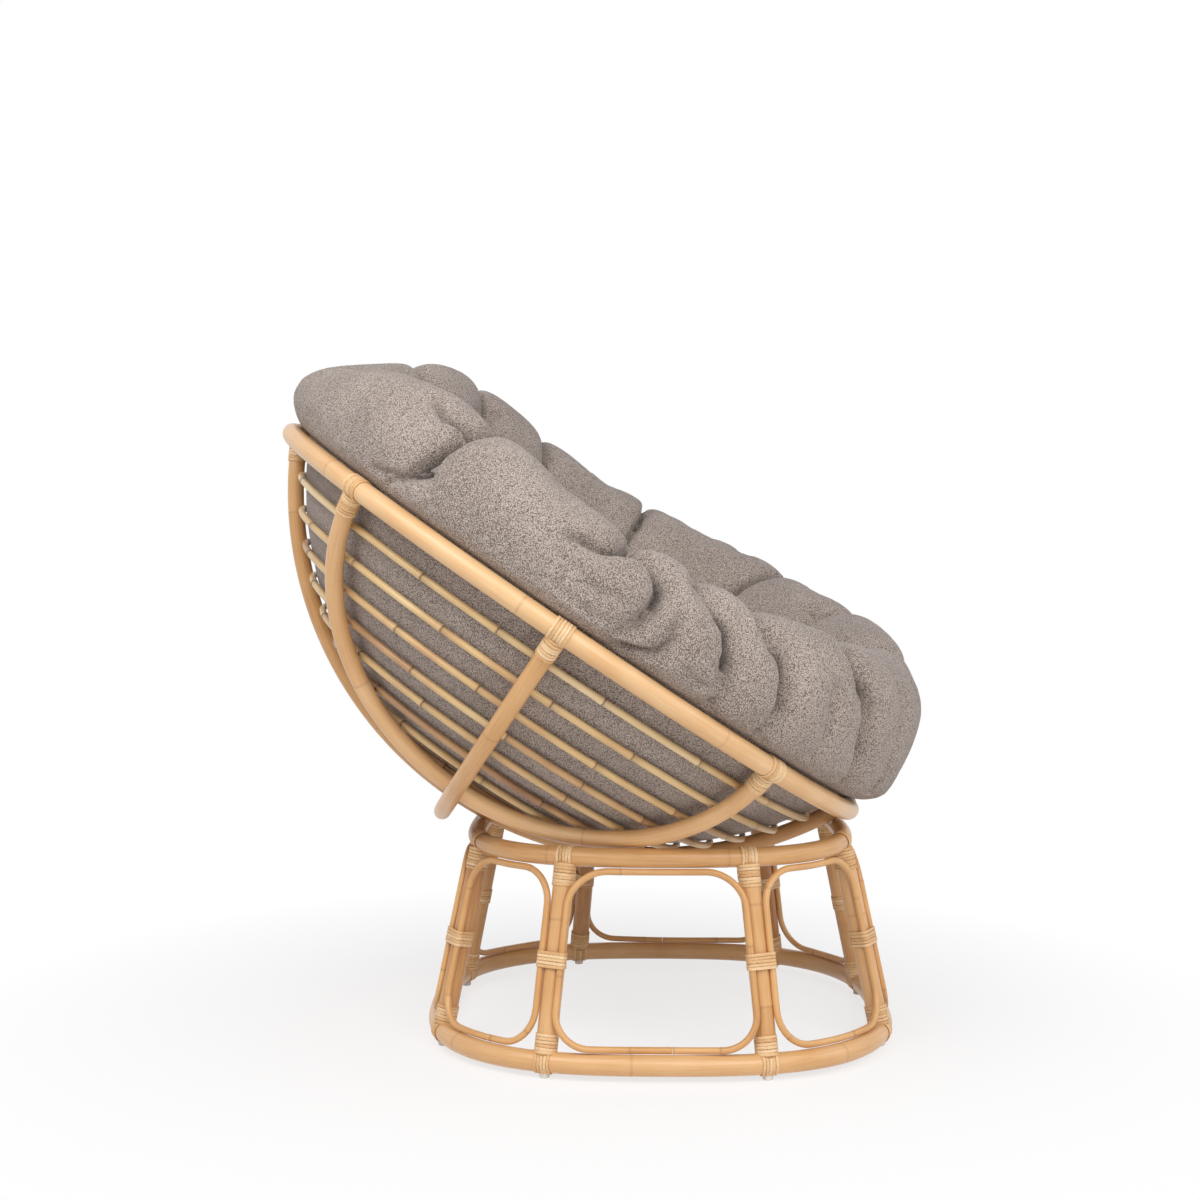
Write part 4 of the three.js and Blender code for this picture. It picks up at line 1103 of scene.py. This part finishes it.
def how_held(local):
    """How firmly each point is held while the cushion is blown up, from 0 to 1."""
    radial = np.hypot(local[:, 0], local[:, 1])
    height = local[:, 2] + RIM_DROP
    below = (np.linalg.norm(local, axis=1) > CUSHION_BALL - HELD_DEPTH) & (height < HELD_UNDER_RIM)
    by_rim = np.hypot(radial - RIM_RADIUS, height) < RIM_CLEAR + HELD_BY_RIM
    seat = (radial < SEAT_WALL_RADIUS) & (height < SEAT_HEIGHT) & ~below
    tufts = seat & (tuft_dip(local[:, 0], local[:, 1]) > TUFT_HELD_SHARE * TUFT_DEPTH)
    held = np.where(below | by_rim | tufts, 1.0, 0.0)
    for number, point in enumerate(local):
        _, index, off = bottoms_tree.find(point)
        if off < HELD_BY_CREASE:
            held[number] = max(held[number], min(1.0, CREASE_HOLD * crease_shares[index]))
    return held.round(2)


def smoothed(piece, kind, **settings):
    """The piece's mesh with one modifier's result in it."""
    modifier = piece.modifiers.new("smooth", kind)
    for name, value in settings.items():
        setattr(modifier, name, value)
    bpy.context.view_layer.update()
    mesh = bpy.data.meshes.new_from_object(piece.evaluated_get(bpy.context.evaluated_depsgraph_get()))
    piece.modifiers.clear()
    piece.data = mesh


def blow_up(piece, cell=7 * MM, frames=20, cap=14 * MM):
    """Remeshes the piece evenly and lets it swell as cloth, with no point moved by more than the cap."""
    bpy.context.view_layer.objects.active = piece
    piece.select_set(True)
    piece.data.remesh_voxel_size = cell
    bpy.ops.object.voxel_remesh()
    smoothed(piece, "SMOOTH", factor=0.5, iterations=2)
    start = coordinates(piece.data)
    held = how_held(to_bowl(start))
    group = piece.vertex_groups.new(name="held")
    for level in np.unique(held[held > 0]):
        group.add(np.nonzero(held == level)[0].tolist(), float(level), "REPLACE")
    cloth = piece.modifiers.new("blow_up", "CLOTH")
    for name, value in {"vertex_group_mass": "held", "use_pressure": True, "uniform_pressure_force": 4.0,
                        "shrink_min": -0.05, "shrink_max": -0.05, "quality": 5, "mass": 0.3,
                        "tension_stiffness": 12, "compression_stiffness": 12,
                        "bending_stiffness": 0.4}.items():
        setattr(cloth.settings, name, value)
    cloth.settings.effector_weights.gravity = 0.0
    cloth.collision_settings.use_collision = False
    cloth.point_cache.frame_start, cloth.point_cache.frame_end = 1, frames
    for frame_number in range(1, frames + 1):
        bpy.context.scene.frame_set(frame_number)
    ready = piece.evaluated_get(bpy.context.evaluated_depsgraph_get())
    moved = coordinates(ready.data)
    piece.modifiers.remove(cloth)
    bpy.context.scene.frame_set(1)
    move = moved - start
    far = np.linalg.norm(move, axis=1)
    move *= np.minimum(1, cap / np.maximum(far, 1e-9))[:, None]
    piece.data.vertices.foreach_set("co", (start + move).ravel())
    piece.vertex_groups.clear()
    print("cushion blown up: moved", round(float(far.mean()) / MM, 1), "mm on average, points", len(start))


blow_up(cushion)

# %% Folding the creases in
def folded(local):
    """Draws a sharp fold in at the bottom of each crease. Also gives its depth, used for painted shade."""
    depth = np.zeros(len(local))
    for number, point in enumerate(local):
        bottom, index, off = bottoms_tree.find(point)
        if off < 5 * FOLD_WIDTH:
            over = np.array(point) - np.array(bottom)
            beside = over - crease_ways[index] * (over @ crease_ways[index])
            depth[number] = min(1.0, crease_shares[index]) * math.exp(-(beside @ beside) / FOLD_WIDTH ** 2)
            local[number] += crease_ways[index] * FOLD_DEPTH * depth[number]
    return local, depth


smoothed(cushion, "SUBSURF", levels=1, render_levels=1)
creased, fold_depth = folded(to_bowl(coordinates(cushion.data)))
cushion.data.vertices.foreach_set("co", in_bowl(keep_clear(creased)).ravel())
# The fold's depth goes to the cloth's material, which darkens each fold's bottom as painted shade
cushion.data.attributes.new("fold_depth", "FLOAT", "POINT").data.foreach_set("value", fold_depth)
cushion.data.polygons.foreach_set("use_smooth", [True] * len(cushion.data.polygons))
print("cushion:", len(cushion.data.polygons), "faces")


# %% Boucle cloth
def boucle_material():
    """Boucle is woven with looped yarn: its face is a field of soft knots under 2 mm across, dark between."""
    material, tree, shader = new_material("looped_boucle_cloth")
    place = add_node(tree, "ShaderNodeTexCoord").outputs["Object"]
    wander = add_node(tree, "ShaderNodeTexNoise", {"Vector": place}, {"Scale": 500.0, "Detail": 1.0})
    bent = add_node(tree, "ShaderNodeVectorMath", {0: wander.outputs[1], 2: place}, {1: [1.5 * MM] * 3},
                    operation="MULTIPLY_ADD").outputs[0]
    knots = add_node(tree, "ShaderNodeTexVoronoi", {"Vector": bent}, {"Scale": 580.0}).outputs[0]
    yarn = add_node(tree, "ShaderNodeTexNoise", {"Vector": place}, {"Scale": 900.0, "Detail": 2.0}).outputs[0]
    wash = add_node(tree, "ShaderNodeTexNoise", {"Vector": place}, {"Scale": 9.0, "Detail": 2.0}).outputs[0]
    height = add_node(tree, "ShaderNodeMath", {0: knots, 2: yarn}, {1: -0.9},
                      operation="MULTIPLY_ADD").outputs[0]
    shade = add_node(tree, "ShaderNodeMath", {0: wash, 2: height}, {1: 0.2},
                     operation="MULTIPLY_ADD").outputs[0]
    ramp = colour_stops(add_node(tree, "ShaderNodeValToRGB", {"Fac": shade}), [
        (0.0, "#6e625a"), (0.12, "#9f9186"), (0.3, "#bbada2"), (0.55, "#d2c5ba")])
    # Painted shade: the colour is darkened towards #4f453f at the bottom of each fold, for the shade in the
    # deep fold
    fold = add_node(tree, "ShaderNodeAttribute", attribute_name="fold_depth").outputs["Fac"]
    painted_fold_shade = add_node(tree, "ShaderNodeMath", {0: fold}, {1: 1.2}, operation="MULTIPLY", use_clamp=True)
    dark = add_node(tree, "ShaderNodeMix", {0: painted_fold_shade.outputs[0], 6: ramp.outputs[0]},
                    {7: colour("#4f453f")}, data_type="RGBA")
    tree.links.new(dark.outputs[2], shader.inputs["Base Color"])
    bump = add_node(tree, "ShaderNodeBump", {"Height": height}, {"Strength": 0.6, "Distance": 1.6 * MM})
    tree.links.new(bump.outputs[0], shader.inputs["Normal"])
    shader.inputs["Roughness"].default_value = 0.95
    shader.inputs["Sheen Weight"].default_value = 0.12
    shader.inputs["Sheen Roughness"].default_value = 0.6
    return material


cushion.data.materials.clear()
cushion.data.materials.append(boucle_material())
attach(cushion, "cushion")
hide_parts("cushion")

# %% [markdown]
# ## The studio
# A pale floor and three large soft lamps: two high on the camera's side, towards the chair's back and
# its front, and a weaker one from the front. The world fills the shadows. The background is white because
# the floor and the world look white to the camera's own rays, so the lamps needn't burn it out. Near the
# chair the floor keeps some of its own look, and so the chair's shadow.


# %% Floor, world and lamps
FLOOR_REACH = 9.0
FLOOR_DROP = 0.3 * MM
FADE_FROM = 0.45
FADE_TO = 1.1
WHITE_NEAR = 0.72


def seen_rays(tree):
    """1 for the camera's rays and for those that gloss and clear things send on, otherwise 0."""
    rays = add_node(tree, "ShaderNodeLightPath").outputs
    either = add_node(tree, "ShaderNodeMath", {0: rays["Is Camera Ray"], 1: rays["Is Glossy Ray"]},
                      operation="MAXIMUM")
    return add_node(tree, "ShaderNodeMath", {0: either.outputs[0], 1: rays["Is Transmission Ray"]},
                    operation="MAXIMUM").outputs[0]


def floor_material():
    """Matt white paint. Near the chair it keeps the shadow, and further out it fades into the backdrop."""
    material, tree, shader = new_material("painted_studio_floor")
    shader.inputs["Base Color"].default_value = colour("#f6f4f2")
    shader.inputs["Roughness"].default_value = 0.9
    glow = add_node(tree, "ShaderNodeEmission", values={"Color": colour("#ffffff"), "Strength": 1.0})
    place = add_node(tree, "ShaderNodeTexCoord").outputs["Object"]
    away = add_node(tree, "ShaderNodeVectorMath", {0: place}, operation="LENGTH").outputs["Value"]
    fade = add_node(tree, "ShaderNodeMapRange", {"Value": away},
                    {"From Min": FADE_FROM, "From Max": FADE_TO, "To Min": WHITE_NEAR,
                     "To Max": 1.0}).outputs[0]
    share = add_node(tree, "ShaderNodeMath", {0: seen_rays(tree), 1: fade}, operation="MULTIPLY").outputs[0]
    mixed = add_node(tree, "ShaderNodeMixShader", {0: share, 1: shader.outputs[0], 2: glow.outputs[0]})
    output = next(n for n in tree.nodes if n.type == "OUTPUT_MATERIAL")
    tree.links.new(mixed.outputs[0], output.inputs["Surface"])
    return material


floor_mesh = bpy.data.meshes.new("floor")
floor_mesh.from_pydata([(-FLOOR_REACH, -FLOOR_REACH, 0), (FLOOR_REACH, -FLOOR_REACH, 0),
                        (FLOOR_REACH, FLOOR_REACH, 0), (-FLOOR_REACH, FLOOR_REACH, 0)], [], [(0, 1, 2, 3)])
floor_mesh.materials.append(floor_material())
floor = place_object("floor", floor_mesh)
floor.location.z = -FLOOR_DROP

world = bpy.data.worlds.new("studio")
bpy.context.scene.world = world
world.use_nodes = True
tree = world.node_tree
tree.nodes.clear()
soft = add_node(tree, "ShaderNodeBackground", values={"Color": colour("#ecebf4"), "Strength": 0.4})
white = add_node(tree, "ShaderNodeBackground", values={"Color": colour("#ffffff"), "Strength": 1.0})
both = add_node(tree, "ShaderNodeMixShader", {0: seen_rays(tree), 1: soft.outputs[0], 2: white.outputs[0]})
add_node(tree, "ShaderNodeOutputWorld", {"Surface": both.outputs[0]})

LIT_POINT = Vector((0, 0, 0.5))
LAMPS = {  # place, width in metres, watts
    "key_lamp": ((-1.7, 1.2, 2.5), 1.8, 40),
    "side_lamp": ((-2.5, -1.0, 2.0), 1.8, 36),
    "front_lamp": ((-0.8, -2.8, 1.8), 2.0, 17),
}
for name, (place, width, watts) in LAMPS.items():
    lamp_data = bpy.data.lights.new(name, "AREA")
    lamp_data.size, lamp_data.energy = width, watts
    lamp = place_object(name, lamp_data)
    lamp.location = place
    lamp.rotation_euler = (LIT_POINT - Vector(place)).to_track_quat("-Z", "Y").to_euler()
bpy.context.scene.view_settings.view_transform = "Standard"
